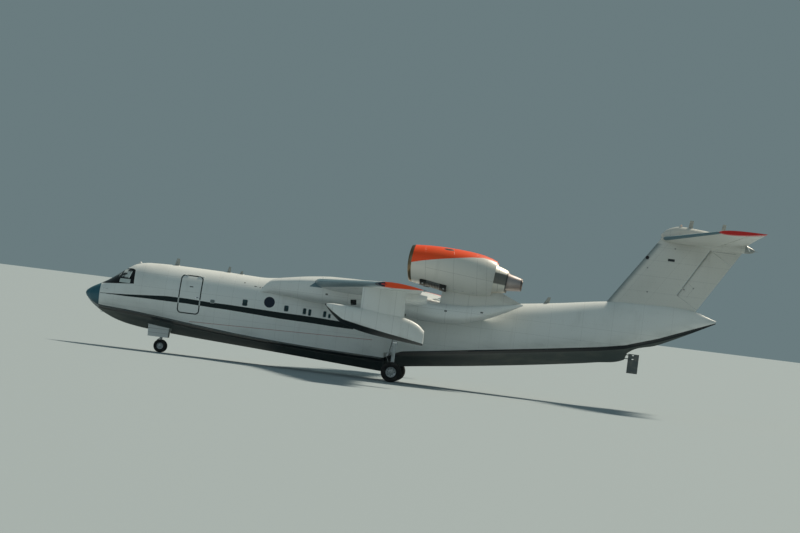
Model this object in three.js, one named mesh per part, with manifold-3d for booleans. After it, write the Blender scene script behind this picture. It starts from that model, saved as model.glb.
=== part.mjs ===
// A twin-jet amphibious flying boat, parked on its wheels.
// Millimetres, +Z up. The nose points to -X and the port wing to -Y.
// The origin is on the ground, under the middle of the overall length.
import * as THREE from "three";
import Module from "manifold-3d";

const wasm = await Module();
wasm.setup();

// Driving dimensions. A station is a distance aft of the nose tip, and a level is a height over the nose tip.
const OVERALL_LENGTH = 31430;
const NOSE_HEIGHT = 2410;
const MATE_GAP = 0.3;

const WING = {
  semiSpan: 16390, rootLead: 10310, rootChord: 5340, tipChord: 1940, sweep: 0.263,
  rootLevel: 1765, dihedral: 0.0137, rootTwist: 0.06, tipTwist: 0.02,
  rootThick: 0.14, tipThick: 0.115, camber: 0.015,
};
const TAILPLANE = {
  semiSpan: 5060, rootLead: 26770, rootChord: 4080, tipChord: 2140, sweep: 0.498,
  rootLevel: 5865, dihedral: 0.0935, rootTwist: -0.033, tipTwist: -0.065,
  rootThick: 0.1, tipThick: 0.09, camber: -0.005,
};
const FIN = {
  foot: 2500, top: 5660, lead: 24547, leadSlope: 0.672, trail: 28751, trailSlope: 0.614, thick: 0.105,
};
const NACELLE = { station: 15400, level: 3325, offset: 2500, droop: Math.atan(0.0906), fanRadius: 686 };
const FLOAT_OFFSET = 13000;
const NOSE_GEAR = {
  station: 3850, wheelRadius: 310, tyreWidth: 190, wheelGap: 190, legTop: -780, barrelFoot: -1600,
};
const MAIN_GEAR = {
  station: 15000, offset: 2150, wheelRadius: 475, tyreWidth: 300, wheelGap: 260, legTop: 1300,
};
const STEP_STATION = 14500;
const RADOME_END = 720;
const SEGMENTS = 20;
const HINGE_SLOT = 12, HINGE_SIDE_GAP = 10, NOSE_INSET = 1, NOSE_SIDES = 12, NOTCH_SIDES = 10;
const LUG_WIDTH = 40, LUG_FILL = 0.8, LUG_ROOT = 60, LUG_ROOT_SHARE = 0.6;
const MOVABLE_REACH = 3000, HINGE_SPACE_DEPTH = 500;

// Columns: station, keel level, chine half-beam, chine level, half-width, widest level, crown level.
const NOSE_SECTIONS = [
  [0, -14, 10, -8, 14, 0, 14],
  [90, -180, 110, -140, 165, 0, 160],
  [300, -405, 240, -318, 345, 5, 318],
  [RADOME_END, -705, 400, -515, 570, 15, 552],
];
const FOREBODY_SECTIONS = [
  [RADOME_END, -705, 400, -515, 570, 15, 552],
  [1000, -855, 520, -545, 725, 25, 722],
  [1500, -1065, 690, -570, 940, 50, 1090],
  [1900, -1180, 810, -588, 1075, 78, 1390],
  [2300, -1260, 900, -615, 1180, 105, 1632],
  [2900, -1342, 1010, -660, 1300, 130, 1752],
  [4100, -1442, 1160, -765, 1400, 160, 1788],
  [5500, -1525, 1240, -907, 1430, 175, 1778],
  [7400, -1620, 1290, -1080, 1430, 158, 1745],
  [8300, -1665, 1305, -1143, 1430, 150, 1724],
  [9200, -1712, 1315, -1192, 1430, 142, 1815],
  [10000, -1755, 1320, -1230, 1430, 135, 1940],
  [11200, -1820, 1320, -1277, 1430, 125, 2115],
  [12600, -1900, 1320, -1320, 1430, 112, 2185],
  [STEP_STATION, -2000, 1320, -1360, 1430, 95, 2190],
];
const AFTERBODY_SECTIONS = [
  [STEP_STATION + MATE_GAP, -1760, 1310, -1080, 1430, 95, 2190],
  [15300, -1660, 1300, -960, 1430, 95, 2010],
  [16100, -1550, 1290, -845, 1430, 95, 1740],
  [17000, -1435, 1250, -720, 1420, 105, 1640],
  [18200, -1280, 1200, -543, 1400, 140, 1680],
  [20300, -985, 1060, -240, 1300, 335, 1955],
  [22400, -667, 860, 70, 1120, 665, 2250],
  [24450, -322, 600, 382, 880, 1070, 2580],
  [25770, -27, 400, 632, 720, 1337, 2730],
  [25870, 289, 380, 675, 705, 1364, 2735],
  [27230, 835, 270, 1122, 520, 1708, 2750],
  [28600, 1506, 160, 1678, 320, 2047, 2660],
  [29840, 2158, 25, 2180, 60, 2233, 2295],
];
// Columns: station, bottom level, top level, innermost offset, outermost offset.
const ROOT_FAIRING_SECTIONS = [
  [8350, 950, 1150, 250, 1210],
  [8600, 960, 1500, 250, 1330],
  [8900, 985, 1720, 250, 1500],
  [9700, 950, 1900, 250, 1900],
  [10850, 850, 2080, 250, 2480],
  [11750, 810, 2160, 250, 2800],
  [13800, 745, 2185, 250, 2960],
  [14700, 710, 2160, 250, 2980],
  [15300, 685, 2000, 250, 2980],
  [16100, 620, 1735, 400, 2980],
  [16950, 600, 1630, 550, 2960],
  [17850, 690, 1660, 750, 2880],
  [19100, 1060, 1790, 1250, 2760],
  [19920, 1440, 1870, 1750, 2670],
  [20720, 1880, 1960, 2380, 2600],
];
// Columns: station, keel level, chine level, half-width, top level.
const FLOAT_SECTIONS = [
  [12270, 830, 845, 30, 880],
  [12650, 440, 560, 170, 925],
  [13100, 120, 290, 280, 915],
  [14000, -140, 110, 370, 850],
  [15100, -290, -85, 390, 755],
  [15800, -360, -190, 370, 670],
  [16400, -410, -300, 320, 450],
  [16680, -430, -350, 270, 210],
];
// Columns: station, bottom level, top level, half-width.
const BULLET_SECTIONS = [
  [26790, 5990, 6075, 40],
  [26960, 5780, 6265, 140],
  [27220, 5655, 6420, 225],
  [27640, 5600, 6535, 275],
  [28640, 5585, 6490, 285],
  [29680, 5600, 6340, 250],
  [30740, 5640, 6080, 160],
  [31000, 5655, 5970, 140],
  [31170, 5700, 5895, 95],
  [31260, 5765, 5825, 35],
];
// Columns: distance aft of the lip along the engine axis, radius.
const COWL_PROFILE = [
  [-90, 800], [20, 862], [700, 905], [1600, 975], [2500, 1005], [3200, 970], [3600, 895], [3860, 815],
  [3860, 795], [3300, 790], [1250, 705], [160, 690], [-30, 735],
];
// The engine behind the fan, as one block with its exhaust cone.
const CORE_PROFILE = [[1420, 0], [1420, 711], [3299, 789], [3299, 230], [4300, 190], [4800, 0]];
const NOZZLE_PROFILE = [
  [3300, 375], [3300, 780], [3860, 655], [4480, 490], [4480, 465], [3860, 610], [3380, 640], [3380, 430],
  [4440, 400], [5170, 260], [5170, 240], [4440, 375],
];
const FAN = {
  blades: 12, station: 1330, chord: 190, bladeThick: 14, rootRadius: 180, rootTwist: 0.5, tipTwist: 1.05,
};
// The room that the cowl and its nozzles take, aft of the cowl's end.
const COWL_ROOM_TAIL = [[3861, 690], [4500, 520], [5250, 0]];
const SPINNER_PROFILE = [[820, 0], [900, 110], [1180, 200], [1419.7, 215], [1419.7, 0]];
// Columns: half-chord, half-width. The bullet's aerials narrow from foot to head.
const AERIAL_FOOT = [110, 16], AERIAL_HEAD = [60, 10];
// Columns: station, foot level, head level, aft lean.
const BULLET_AERIALS = [[28110, 6430, 6880, 50], [29660, 6260, 6880, 40]];
const WATER_RUDDER = {
  station: 26030, top: 275, foot: -640, chord: 420, half: 40, nose: 90, noseShare: 0.6, trailShare: 0.3,
  lugFront: 25720, lugs: [35, 215], lugHalf: 20,
};
const WHEEL_SIDES = 20, ROUND_SIDES = 16, BRACE_SIDES = 10, SPINNER_SIDES = 12, BULLET_SIDES = 12;
const BEAD = 0.52, DISC_SHARE = 0.62;
const AXLE_CLEAR = 2, BORE_OVERRUN = 5;
const NOSE_LEG = {
  axle: 38, sleeveWall: 35, barrel: 78, tube: 52, collar: 85, collarDepth: 90,
  shoulder: 120, shoulderLevels: [-960, -1040],
  brace: 38, braceFoot: -1500, braceStation: 3270, braceDrop: 40,
  anchorStations: [3220, 3320], anchorHalf: 90, anchorDepth: 80,
  linkHalf: 25, towLug: { stations: [3700, 3830], half: 35, height: 30 },
};
const MAIN_LEG = {
  axle: 65, sleeveWall: 50, barrel: 120, barrelFoot: -700, tube: 85, tubeHead: -690,
  collar: 145, collarLevels: [-600, -760],
  sideBrace: 50, sideBraceFoot: -350, sideAnchor: [1640, 1800], sideAnchorHalf: 80,
  dragBrace: 45, dragBraceFoot: 300, dragAnchor: [14650, 14750], dragAnchorHalf: 70,
  anchorDepth: 130, braceDrop: 60, linkHalf: 35,
};
// Side-view corners of the torque links: distance aft of the leg, level.
const NOSE_LINKS = [
  [[-20, -1650], [-190, -1830], [-160, -1860], [0, -1710]],
  [[-190, -1790], [0, -2070], [0, -2110], [-200, -1830]],
];
const MAIN_LINKS = [
  [[-60, -700], [-330, -1170], [-290, -1220], [0, -800]],
  [[-330, -1190], [-20, -1800], [0, -1880], [-310, -1250]],
];

const PAINT = { white: 0xe9edee, teal: 0x2f6f86, orange: 0xf0481c, black: 0x1a1d1f, grey: 0x8d9497 };
const FINISH = {
  hull: [PAINT.white, 0.45, 0.05], radome: [PAINT.teal, 0.5, 0], wing: [PAINT.white, 0.45, 0.05],
  tip: [PAINT.orange, 0.5, 0], glass: [0x10171c, 0.08, 0], cowl: [PAINT.orange, 0.45, 0.05],
  hot: [0x6f6a64, 0.35, 0.9], fan: [0x50555a, 0.35, 0.8], leg: [0xc9cdcf, 0.4, 0.5],
  tyre: [PAINT.black, 0.85, 0], hub: [0xb9c0c4, 0.4, 0.6], block: [PAINT.grey, 0.6, 0.4],
};
const materials = {};
for (const [name, [color, roughness, metalness]] of Object.entries(FINISH)) {
  materials[name] = new THREE.MeshStandardMaterial({ name, color, roughness, metalness });
}

const aircraft = new THREE.Group();
const X_AFT = new THREE.Vector3(1, 0, 0);
const Z_UP = new THREE.Vector3(0, 0, 1);
const Y_STARBOARD = new THREE.Vector3(0, 1, 0);

function at(station, offset, level) {
  return new THREE.Vector3(station - OVERALL_LENGTH / 2, offset, level + NOSE_HEIGHT);
}

// A closed solid from indexed points, turned face out if it comes in inside out.
function solidFrom(points, triangles) {
  const vertProperties = new Float32Array(points.flatMap((p) => [p.x, p.y, p.z]));
  const solid = (order) => {
    const mesh = new wasm.Mesh({ numProp: 3, vertProperties, triVerts: new Uint32Array(order) });
    return new wasm.Manifold(mesh);
  };
  const made = solid(triangles);
  if (made.volume() >= 0) return made;
  return solid(triangles.map((_, i) => triangles[i - (i % 3) + ((3 - (i % 3)) % 3)]));
}

// The skin over rings of equally many points, capped at both ends by a ladder across the ring.
function loft(rings) {
  const n = rings[0].length;
  const triangles = [];
  for (let i = 0; i + 1 < rings.length; i++) {
    for (let j = 0; j < n; j++) {
      const a = i * n + j, b = i * n + ((j + 1) % n), c = a + n, d = b + n;
      triangles.push(a, c, b, b, c, d);
    }
  }
  const last = (rings.length - 1) * n;
  for (let low = 0, high = n - 1; high - low > 1;) {
    const next = low + 1;
    triangles.push(low, next, high, last + low, last + high, last + next);
    low = next;
    if (high - low > 1) {
      triangles.push(low, high - 1, high, last + low, last + high, last + high - 1);
      high -= 1;
    }
  }
  return solidFrom(rings.flat(), triangles);
}

// A closed solid from a three.js geometry, moved by a matrix.
function solidOf(geometry, matrix = new THREE.Matrix4()) {
  const plain = geometry.index ? geometry.toNonIndexed() : geometry;
  const position = plain.getAttribute("position");
  const points = [], triangles = [], seen = new Map();
  for (let i = 0; i < position.count; i++) {
    const p = new THREE.Vector3().fromBufferAttribute(position, i).applyMatrix4(matrix);
    const key = [p.x, p.y, p.z].map((v) => Math.round(v * 1000)).join();
    if (!seen.has(key)) seen.set(key, points.push(p) - 1);
    triangles.push(seen.get(key));
  }
  const whole = [];
  for (let i = 0; i < triangles.length; i += 3) {
    const [a, b, c] = triangles.slice(i, i + 3);
    if (a !== b && b !== c && c !== a) whole.push(a, b, c);
  }
  return solidFrom(points, whole);
}

function geometryOf(solid) {
  const { numProp, vertProperties, triVerts } = solid.getMesh();
  const count = vertProperties.length / numProp;
  const position = new Float32Array(count * 3);
  for (let i = 0; i < count; i++) position.set(vertProperties.subarray(i * numProp, i * numProp + 3), i * 3);
  return new THREE.BufferGeometry()
    .setAttribute("position", new THREE.BufferAttribute(position, 3))
    .setIndex(new THREE.BufferAttribute(new Uint32Array(triVerts), 1));
}

function add(name, solid, finish, parent = aircraft) {
  const mesh = new THREE.Mesh(geometryOf(solid), materials[finish]);
  mesh.name = name;
  parent.add(mesh);
  return mesh;
}

// A round bar between two points, with a radius at each end.
function bar(from, to, radiusFrom, radiusTo = radiusFrom, sides = 12) {
  const along = to.clone().sub(from).normalize();
  const side = Math.abs(along.z) < 0.9 ? Z_UP.clone() : X_AFT.clone();
  const u = side.cross(along).normalize(), v = along.clone().cross(u);
  const ring = (centre, radius) => Array.from({ length: sides }, (_, k) => {
    const angle = (2 * Math.PI * (k + 0.5)) / sides;
    return centre.clone()
      .addScaledVector(u, radius * Math.cos(angle))
      .addScaledVector(v, radius * Math.sin(angle));
  });
  return loft([ring(from, radiusFrom), ring(to, radiusTo)]);
}

// A slab between four corners, reaching the same distance to both sides along a normal.
function slab(corners, normal, half) {
  return loft([-half, half].map((reach) => corners.map((p) => p.clone().addScaledVector(normal, reach))));
}

function box(stations, offsets, levels) {
  const [s0, s1] = stations, [y0, y1] = offsets, [z0, z1] = levels;
  const corners = [at(s0, 0, z0), at(s1, 0, z0), at(s1, 0, z1), at(s0, 0, z1)];
  return loft([y0, y1].map((y) => corners.map((p) => p.clone().setY(y))));
}

function turned(profile, sides = SEGMENTS, matrix = new THREE.Matrix4()) {
  const points = profile.map(([x, r]) => new THREE.Vector2(r, x));
  if (profile[0][1] > 0 || profile.at(-1)[1] > 0) points.push(points[0].clone());
  return solidOf(new THREE.LatheGeometry(points, sides), matrix);
}

// The hull's outline at one station: keel, inner spray rail, chine, side and crown,
// port first and back down to starboard.
function hullRing([station, keel, beam, chine, width, widest, crown], inset = 0) {
  const RAIL_OUT = 0.6, RAIL_UP = 0.72, SIDE_STEPS = 3, CROWN_STEPS = 7;
  const port = [[0, keel], [beam * RAIL_OUT, keel + (chine - keel) * RAIL_UP], [beam, chine]];
  for (let i = 1; i <= SIDE_STEPS; i++) {
    const t = i / SIDE_STEPS;
    port.push([beam + (width - beam) * (1 - (1 - t) ** 2), chine + (widest - chine) * t]);
  }
  for (let i = 1; i < CROWN_STEPS; i++) {
    const angle = (Math.PI / 2) * (i / CROWN_STEPS);
    port.push([width * Math.cos(angle), widest + (crown - widest) * Math.sin(angle)]);
  }
  const middle = (keel + crown) / 2, shrinkY = 1 - inset / width, shrinkZ = 1 - (2 * inset) / (crown - keel);
  const place = ([y, z], sign) => at(station, sign * y * shrinkY, middle + (z - middle) * shrinkZ);
  return [
    ...port.map((p) => place(p, -1)),
    place([0, crown], 1),
    ...port.slice(1).reverse().map((p) => place(p, 1)),
  ];
}

const AIRFOIL_STATIONS = [1, 0.88, 0.75, 0.6, 0.45, 0.3, 0.18, 0.09, 0.03, 0.007];

function halfThickness(x, thick) {
  const tail = 0.126 * x + 0.3516 * x ** 2 - 0.2843 * x ** 3 + 0.1015 * x ** 4;
  return 5 * thick * (0.2969 * Math.sqrt(x) - tail);
}

// The wing's or tailplane's outline at one offset, from the trailing edge over the top and back below.
function aerofoilRing(surface, offset) {
  const { lead, chord, level, twist, thick } = surfaceAt(surface, offset);
  const point = (x, z) => at(lead + chord * (x + z * twist), offset, level + chord * (z - x * twist));
  const camber = (x) => 4 * surface.camber * x * (1 - x);
  const upper = AIRFOIL_STATIONS.map((x) => point(x, camber(x) + halfThickness(x, thick)));
  const lower = AIRFOIL_STATIONS.map((x) => point(x, camber(x) - halfThickness(x, thick))).reverse();
  return [...upper, point(0, 0), ...lower];
}

function surfaceAt(surface, offset) {
  const share = Math.abs(offset) / surface.semiSpan;
  const mix = (a, b) => a + (b - a) * share;
  return {
    lead: surface.rootLead + surface.sweep * Math.abs(offset),
    chord: mix(surface.rootChord, surface.tipChord),
    level: surface.rootLevel + surface.dihedral * Math.abs(offset),
    twist: mix(surface.rootTwist, surface.tipTwist), thick: mix(surface.rootThick, surface.tipThick),
  };
}

// A point on the mean line of a wing or tailplane, with half of its thickness there.
function meanPoint(surface, offset, x) {
  const { lead, chord, level, twist, thick } = surfaceAt(surface, offset);
  const z = 4 * surface.camber * x * (1 - x);
  return {
    point: at(lead + chord * (x + z * twist), offset, level + chord * (z - x * twist)),
    half: chord * halfThickness(x, thick),
  };
}

// The plane of a hinged surface: along its hinge, aft across it, and out of it.
function hingeAxes([a, b]) {
  const along = b.point.clone().sub(a.point).normalize();
  const aft = X_AFT.clone().addScaledVector(along, -along.x).normalize();
  return { along, aft, out: along.clone().cross(aft) };
}

// The block of space from a distance ahead of the hinge line to well behind the trailing edge.
function hingeSpace([a, b], ahead, beyond) {
  const { along, aft, out } = hingeAxes([a, b]);
  const corner = ({ point }, side, reach) =>
    point.clone().addScaledVector(along, side).addScaledVector(aft, reach);
  const corners = [
    corner(a, -beyond, -ahead), corner(b, beyond, -ahead),
    corner(b, beyond, MOVABLE_REACH), corner(a, -beyond, MOVABLE_REACH),
  ];
  return slab(corners, out, HINGE_SPACE_DEPTH);
}

// Splits a movable surface off a solid, with a round nose on its hinge line, and hangs it on lugs.
function splitMovable(whole, ends, lugShares) {
  const [a, b] = ends;
  const { along, aft, out } = hingeAxes(ends);
  const widest = Math.max(a.half, b.half), slot = widest + HINGE_SLOT;
  const extend = (end, side) => end.point.clone().addScaledVector(along, side * widest);
  const nose = bar(extend(a, -1), extend(b, 1), a.half - NOSE_INSET, b.half - NOSE_INSET, NOSE_SIDES);
  let moving = whole.intersect(hingeSpace(ends, 0, widest))
    .add(nose)
    .intersect(hingeSpace(ends, 2 * widest, 0));
  let fixed = whole.subtract(hingeSpace(ends, slot, HINGE_SIDE_GAP));
  for (const share of lugShares) {
    const middle = a.point.clone().lerp(b.point, share);
    const radius = (a.half + (b.half - a.half) * share) * LUG_FILL;
    const corner = (ahead, up) => middle.clone().addScaledVector(aft, -ahead).addScaledVector(out, up);
    const round = [-90, -45, 0, 45, 90].map((degrees) => (degrees * Math.PI) / 180)
      .map((angle) => corner(-radius * Math.cos(angle), radius * Math.sin(angle)));
    const root = slot + LUG_ROOT;
    const outline = [...round, corner(root, radius * LUG_ROOT_SHARE), corner(root, -radius * LUG_ROOT_SHARE)];
    const reach = LUG_WIDTH / 2 + MATE_GAP;
    const [from, to] = [-reach, reach].map((side) => middle.clone().addScaledVector(along, side));
    const notch = bar(from, to, slot, slot, NOTCH_SIDES);
    moving = moving.subtract(notch);
    fixed = fixed.add(slab(outline, along, LUG_WIDTH / 2));
  }
  return { fixed, moving };
}

// Splits a fixed panel off the back of a wing, face to face with it.
function splitPanel(whole, ends) {
  const panel = whole.intersect(hingeSpace(ends, 0, 0));
  return { fixed: whole.subtract(hingeSpace(ends, MATE_GAP, MATE_GAP)), panel };
}

const SIDES = [["port", -1], ["stbd", 1]];

// The hull: radome, forebody to the step, and afterbody with the tail cone.
const CUT_REACH = 2000;
const radome = loft(NOSE_SECTIONS.map((section) => hullRing(section)))
  .subtract(box([RADOME_END - MATE_GAP, CUT_REACH], [-CUT_REACH, CUT_REACH], [-CUT_REACH, CUT_REACH]));
const forebodySolid = loft(FOREBODY_SECTIONS.map((section) => hullRing(section)));
const afterbodySolid = loft(AFTERBODY_SECTIONS.map((section) => hullRing(section)));

const GLASS_DEPTH = 45;
const forebodyCore = loft(FOREBODY_SECTIONS.map((section) => hullRing(section, GLASS_DEPTH)));
// Side-view corners of the glazing: the windscreen meets the centre post, the side pane lies behind it.
const WINDSCREEN = [[900, 640], [1520, 640], [1770, 1510], [1570, 1510]];
const SIDE_PANE = [[1590, 640], [2180, 660], [2180, 1250], [1825, 1430]];
const CENTRE_POST = 45;

function paneRegion(corners, [y0, y1], grow = 0) {
  const middle = [0, 1].map((k) => corners.reduce((sum, corner) => sum + corner[k] / corners.length, 0));
  const grown = corners.map(([s, z]) => {
    const reach = Math.hypot(s - middle[0], z - middle[1]);
    return [s + ((s - middle[0]) * grow) / reach, z + ((z - middle[1]) * grow) / reach];
  });
  return loft([y0 - grow, y1 + grow].map((y) => grown.map(([s, z]) => at(s, y, z))));
}

function mirrored(y0, y1, sign) {
  return sign < 0 ? [-y1, -y0] : [y0, y1];
}

let forebody = forebodySolid;
const forebodyPocket = loft(FOREBODY_SECTIONS.map((section) => hullRing(section, GLASS_DEPTH + MATE_GAP)));
for (const [side, sign] of SIDES) {
  for (const [name, corners] of [["windscreen", WINDSCREEN], ["side_window", SIDE_PANE]]) {
    const span = mirrored(CENTRE_POST, 1500, sign);
    const pane = forebodySolid.intersect(paneRegion(corners, span)).subtract(forebodyCore);
    forebody = forebody.subtract(paneRegion(corners, span, MATE_GAP).subtract(forebodyPocket));
    add(`${name}_${side}`, pane, "glass");
  }
}

// The passenger door on the port side, hinged along its top edge, with the vestibule behind it.
const DOOR = {
  stations: [4590, 5600], levels: [-390, 1387], wall: 80, gap: 7, roomWall: 420, innerReach: 300,
};
const DOOR_HINGE = { offset: -938, level: 1389, radius: 30, knuckles: [4775, 5505], halfWidth: 45, clear: 6 };

function doorSpace(grow, innerOffset) {
  const [front, back] = DOOR.stations, [foot, head] = DOOR.levels;
  return box([front - grow, back + grow], [-CUT_REACH, innerOffset], [foot - grow, head + grow]);
}

function knuckle(middle, halfWidth, radius) {
  const end = (station) => at(station, DOOR_HINGE.offset, DOOR_HINGE.level);
  return bar(end(middle - halfWidth), end(middle + halfWidth), radius);
}

const doorCore = loft(FOREBODY_SECTIONS.map((section) => hullRing(section, DOOR.wall)));
let door = forebodySolid.intersect(doorSpace(0, -DOOR.innerReach)).subtract(doorCore);
forebody = forebody.subtract(doorSpace(DOOR.gap, -DOOR.roomWall));
for (const middle of DOOR_HINGE.knuckles) {
  const { radius, halfWidth, clear } = DOOR_HINGE;
  for (const sign of [-1, 1]) {
    const outer = middle + sign * (2 * halfWidth + MATE_GAP);
    forebody = forebody.add(knuckle(outer, halfWidth, radius));
    door = door.subtract(knuckle(outer, halfWidth + clear, radius + clear));
  }
  forebody = forebody.subtract(knuckle(middle, halfWidth + MATE_GAP, radius + clear));
  door = door.add(knuckle(middle, halfWidth, radius));
}

// The nose gear's bay, open below, and the pads and lug that the ground crew use.
const NOSE_BAY = { stations: [3150, 4250], half: 330 };
forebody = forebody.subtract(
  box(NOSE_BAY.stations, [-NOSE_BAY.half, NOSE_BAY.half], [-CUT_REACH, NOSE_GEAR.legTop]));

add("radome", radome, "radome");
add("forward_hull", forebody, "hull");
add("passenger_door", door, "hull");

// The fairings that blend the wing into the hull and hold the main gear.
function fairingRing([station, bottom, top, innermost, outermost], grow = 0) {
  const STEPS = 9, BOXINESS = 0.55;
  const middle = (bottom + top) / 2, half = (top - bottom) / 2 + grow, reach = outermost - innermost + grow;
  return (sign) => Array.from({ length: STEPS }, (_, i) => {
    const angle = -Math.PI / 2 + (Math.PI * i) / (STEPS - 1);
    const out = Math.abs(Math.cos(angle)) ** BOXINESS, up = Math.abs(Math.sin(angle)) ** BOXINESS;
    return at(station, sign * (innermost + reach * out), middle + Math.sign(angle) * half * up);
  });
}

const hullGrown = loft(
  [...FOREBODY_SECTIONS, ...AFTERBODY_SECTIONS].map((section) => hullRing(section, -MATE_GAP)));
const JACK_PAD = { station: 12500, offset: 2300, radius: 70, head: 1100, foot: 750 };
const MAIN_BAY = { stations: [14630, 15370], offsets: [1600, 2650] };
// Each door hangs open along its bay, from its head level to its foot level, clear of the bay's ends.
const NOSE_DOOR = { levels: [-950, -1680], half: 12, inset: 30, footInset: 40 };
const MAIN_DOOR = { levels: [1200, 0], half: 20, inset: 40, footInset: 40 };
const PYLON = {
  levels: [1450, 1950, 2480, 2790],
  leads: [16850, 16900, 17010, 17070],
  trails: [19150, 20660, 19380, 19160],
  half: 120,
};
const LENS = [[0, 0.05], [0.12, 0.75], [0.35, 1], [0.65, 0.9], [0.88, 0.5], [1, 0.06]];
const FLAPS = [["inner", 3150, 7400], ["outer", 7450, 11750]];
const FLAP_LINE = 0.72, AILERON = { line: 0.76, from: 11950, to: 15500, lugs: [0.12, 0.88] };
const TIP_SPLIT = 15750, WING_RIBS = [300, 9000, TIP_SPLIT];
const CANOES = [4300, 7425, 10400];
// Columns: share of the chord, drop below the mean line, half-width, half-height.
const CANOE_SECTIONS = [
  [0.5, 0.035, 10, 20],
  [0.6, 0.055, 90, 140],
  [0.8, 0.085, 110, 200],
  [1.0, 0.085, 110, 190],
  [1.1, 0.075, 50, 90],
];
const CANOE_SIDES = 8;
const ENGINE_LINE = new THREE.Vector3(Math.cos(NACELLE.droop), 0, -Math.sin(NACELLE.droop));

function lensRing(lead, trail, level, middle, half) {
  const edge = LENS.map(([share, width]) => [lead + (trail - lead) * share, width * half]);
  return [
    ...edge.map(([s, y]) => at(s, middle + y, level)),
    ...edge.reverse().map(([s, y]) => at(s, middle - y, level)),
  ];
}

function engineMatrix(sign) {
  const down = Y_STARBOARD.clone().cross(ENGINE_LINE);
  return new THREE.Matrix4().makeBasis(Y_STARBOARD, ENGINE_LINE, down)
    .setPosition(at(NACELLE.station, sign * NACELLE.offset, NACELLE.level));
}

function canoe(sign, offset, grow) {
  const { lead, chord, level } = surfaceAt(WING, offset);
  const turns = Array.from({ length: CANOE_SIDES }, (_, k) => (2 * Math.PI * k) / CANOE_SIDES);
  return loft(CANOE_SECTIONS.map(([share, drop, width, height]) => turns.map((angle) => at(
    lead + chord * share,
    sign * offset + (width + grow) * Math.cos(angle),
    level - chord * drop + (height + grow) * Math.sin(angle)))));
}

function wingEnds(sign, line, from, to) {
  return [from, to].map((offset) => {
    const { point, half } = meanPoint(WING, offset, line);
    return { point: point.setY(sign * offset), half };
  });
}

const FLOAT_PYLON = { top: 1860, foot: 560, leads: [13810, 13820], trails: [15760, 15680], half: 90 };
// Columns: share of the half-width, share of the height over the chine.
const FLOAT_SIDE = [[1, 0], [0.97, 0.45], [0.72, 0.85]];

function floatRing([station, keel, chine, width, top]) {
  const side = [[0, keel], ...FLOAT_SIDE.map(([out, up]) => [width * out, chine + (top - chine) * up])];
  const place = ([y, z], sign) => [station, sign * y, z];
  const port = side.map((p) => place(p, -1)), starboard = side.slice(1).map((p) => place(p, 1));
  const outline = [...port, [station, 0, top], ...starboard.reverse()];
  return (middle) => outline.map(([s, y, z]) => at(s, middle + y, z));
}

for (const [side, sign] of SIDES) {
  const rings = (offsets, drop = 0) => offsets.map((offset) => aerofoilRing(WING, offset)
    .map((p) => p.setY(sign * offset).setZ(p.z - drop)));
  const fairingSolid = (grow) =>
    loft(ROOT_FAIRING_SECTIONS.map((section) => fairingRing(section, grow)(sign)));
  const pad = bar(
    at(JACK_PAD.station, sign * JACK_PAD.offset, JACK_PAD.head),
    at(JACK_PAD.station, sign * JACK_PAD.offset, JACK_PAD.foot), JACK_PAD.radius);
  const fairing = fairingSolid(0).add(pad).subtract(hullGrown)
    .subtract(box(MAIN_BAY.stations, mirrored(...MAIN_BAY.offsets, sign), [0, MAIN_GEAR.legTop]));
  add(`wing_root_fairing_${side}`, fairing, "hull");

  let wing = loft(rings(WING_RIBS)).subtract(hullGrown).subtract(fairingSolid(MATE_GAP));
  const tip = loft(rings([TIP_SPLIT + MATE_GAP, WING.semiSpan]));
  const aileron = splitMovable(wing, wingEnds(sign, AILERON.line, AILERON.from, AILERON.to), AILERON.lugs);
  wing = aileron.fixed;
  const flaps = FLAPS.map(([name, from, to]) => {
    const split = splitPanel(wing, wingEnds(sign, FLAP_LINE, from, to));
    wing = split.fixed;
    return [name, split.panel];
  });
  for (const offset of CANOES) wing = wing.add(canoe(sign, offset, 0));
  add(`wing_${side}`, wing, "wing");
  add(`wing_tip_${side}`, tip, "tip");
  add(`aileron_${side}`, aileron.moving, "wing");
  for (const [name, panel] of flaps) {
    const cut = CANOES.reduce((solid, offset) => solid.subtract(canoe(sign, offset, MATE_GAP)), panel);
    add(`flap_${name}_${side}`, cut, "wing");
  }

  const middle = sign * FLOAT_OFFSET;
  const float = loft(FLOAT_SECTIONS.map((section) => floatRing(section)(middle)));
  const floatGrown = loft(FLOAT_SECTIONS.map(([station, keel, chine, width, top]) =>
    floatRing([station, keel, chine, width + MATE_GAP, top + MATE_GAP])(middle)));
  const strut = loft([0, 1].map((i) => lensRing(FLOAT_PYLON.leads[i], FLOAT_PYLON.trails[i],
    i ? FLOAT_PYLON.top : FLOAT_PYLON.foot, middle, FLOAT_PYLON.half)));
  add(`float_${side}`, float, "hull");
  add(`float_pylon_${side}`, strut.subtract(floatGrown).subtract(loft(rings(WING_RIBS, MATE_GAP))), "hull");

  const engine = engineMatrix(sign);
  const cowl = turned(COWL_PROFILE, SEGMENTS, engine);
  const cowlSkin = COWL_PROFILE.slice(0, 8).map(([x, radius]) => [x, radius + MATE_GAP]);
  const cowlRoom = turned([[COWL_PROFILE[0][0] - 1, 0], ...cowlSkin, ...COWL_ROOM_TAIL], SEGMENTS, engine);
  const pylon = loft(PYLON.levels.map((level, i) =>
    lensRing(PYLON.leads[i], PYLON.trails[i], level, sign * NACELLE.offset, PYLON.half)));
  add(`nacelle_${side}`, cowl, "cowl");
  const pylonRoom = cowlRoom.add(fairingSolid(MATE_GAP)).add(hullGrown);
  add(`engine_pylon_${side}`, pylon.subtract(pylonRoom), "hull");
  add(`engine_core_${side}`, turned(CORE_PROFILE, SEGMENTS, engine), "block");
  add(`nozzle_${side}`, turned(NOZZLE_PROFILE, SEGMENTS, engine), "hot");
  add(`fan_${side}`, fanSolid(engine), "fan");
}

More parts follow.
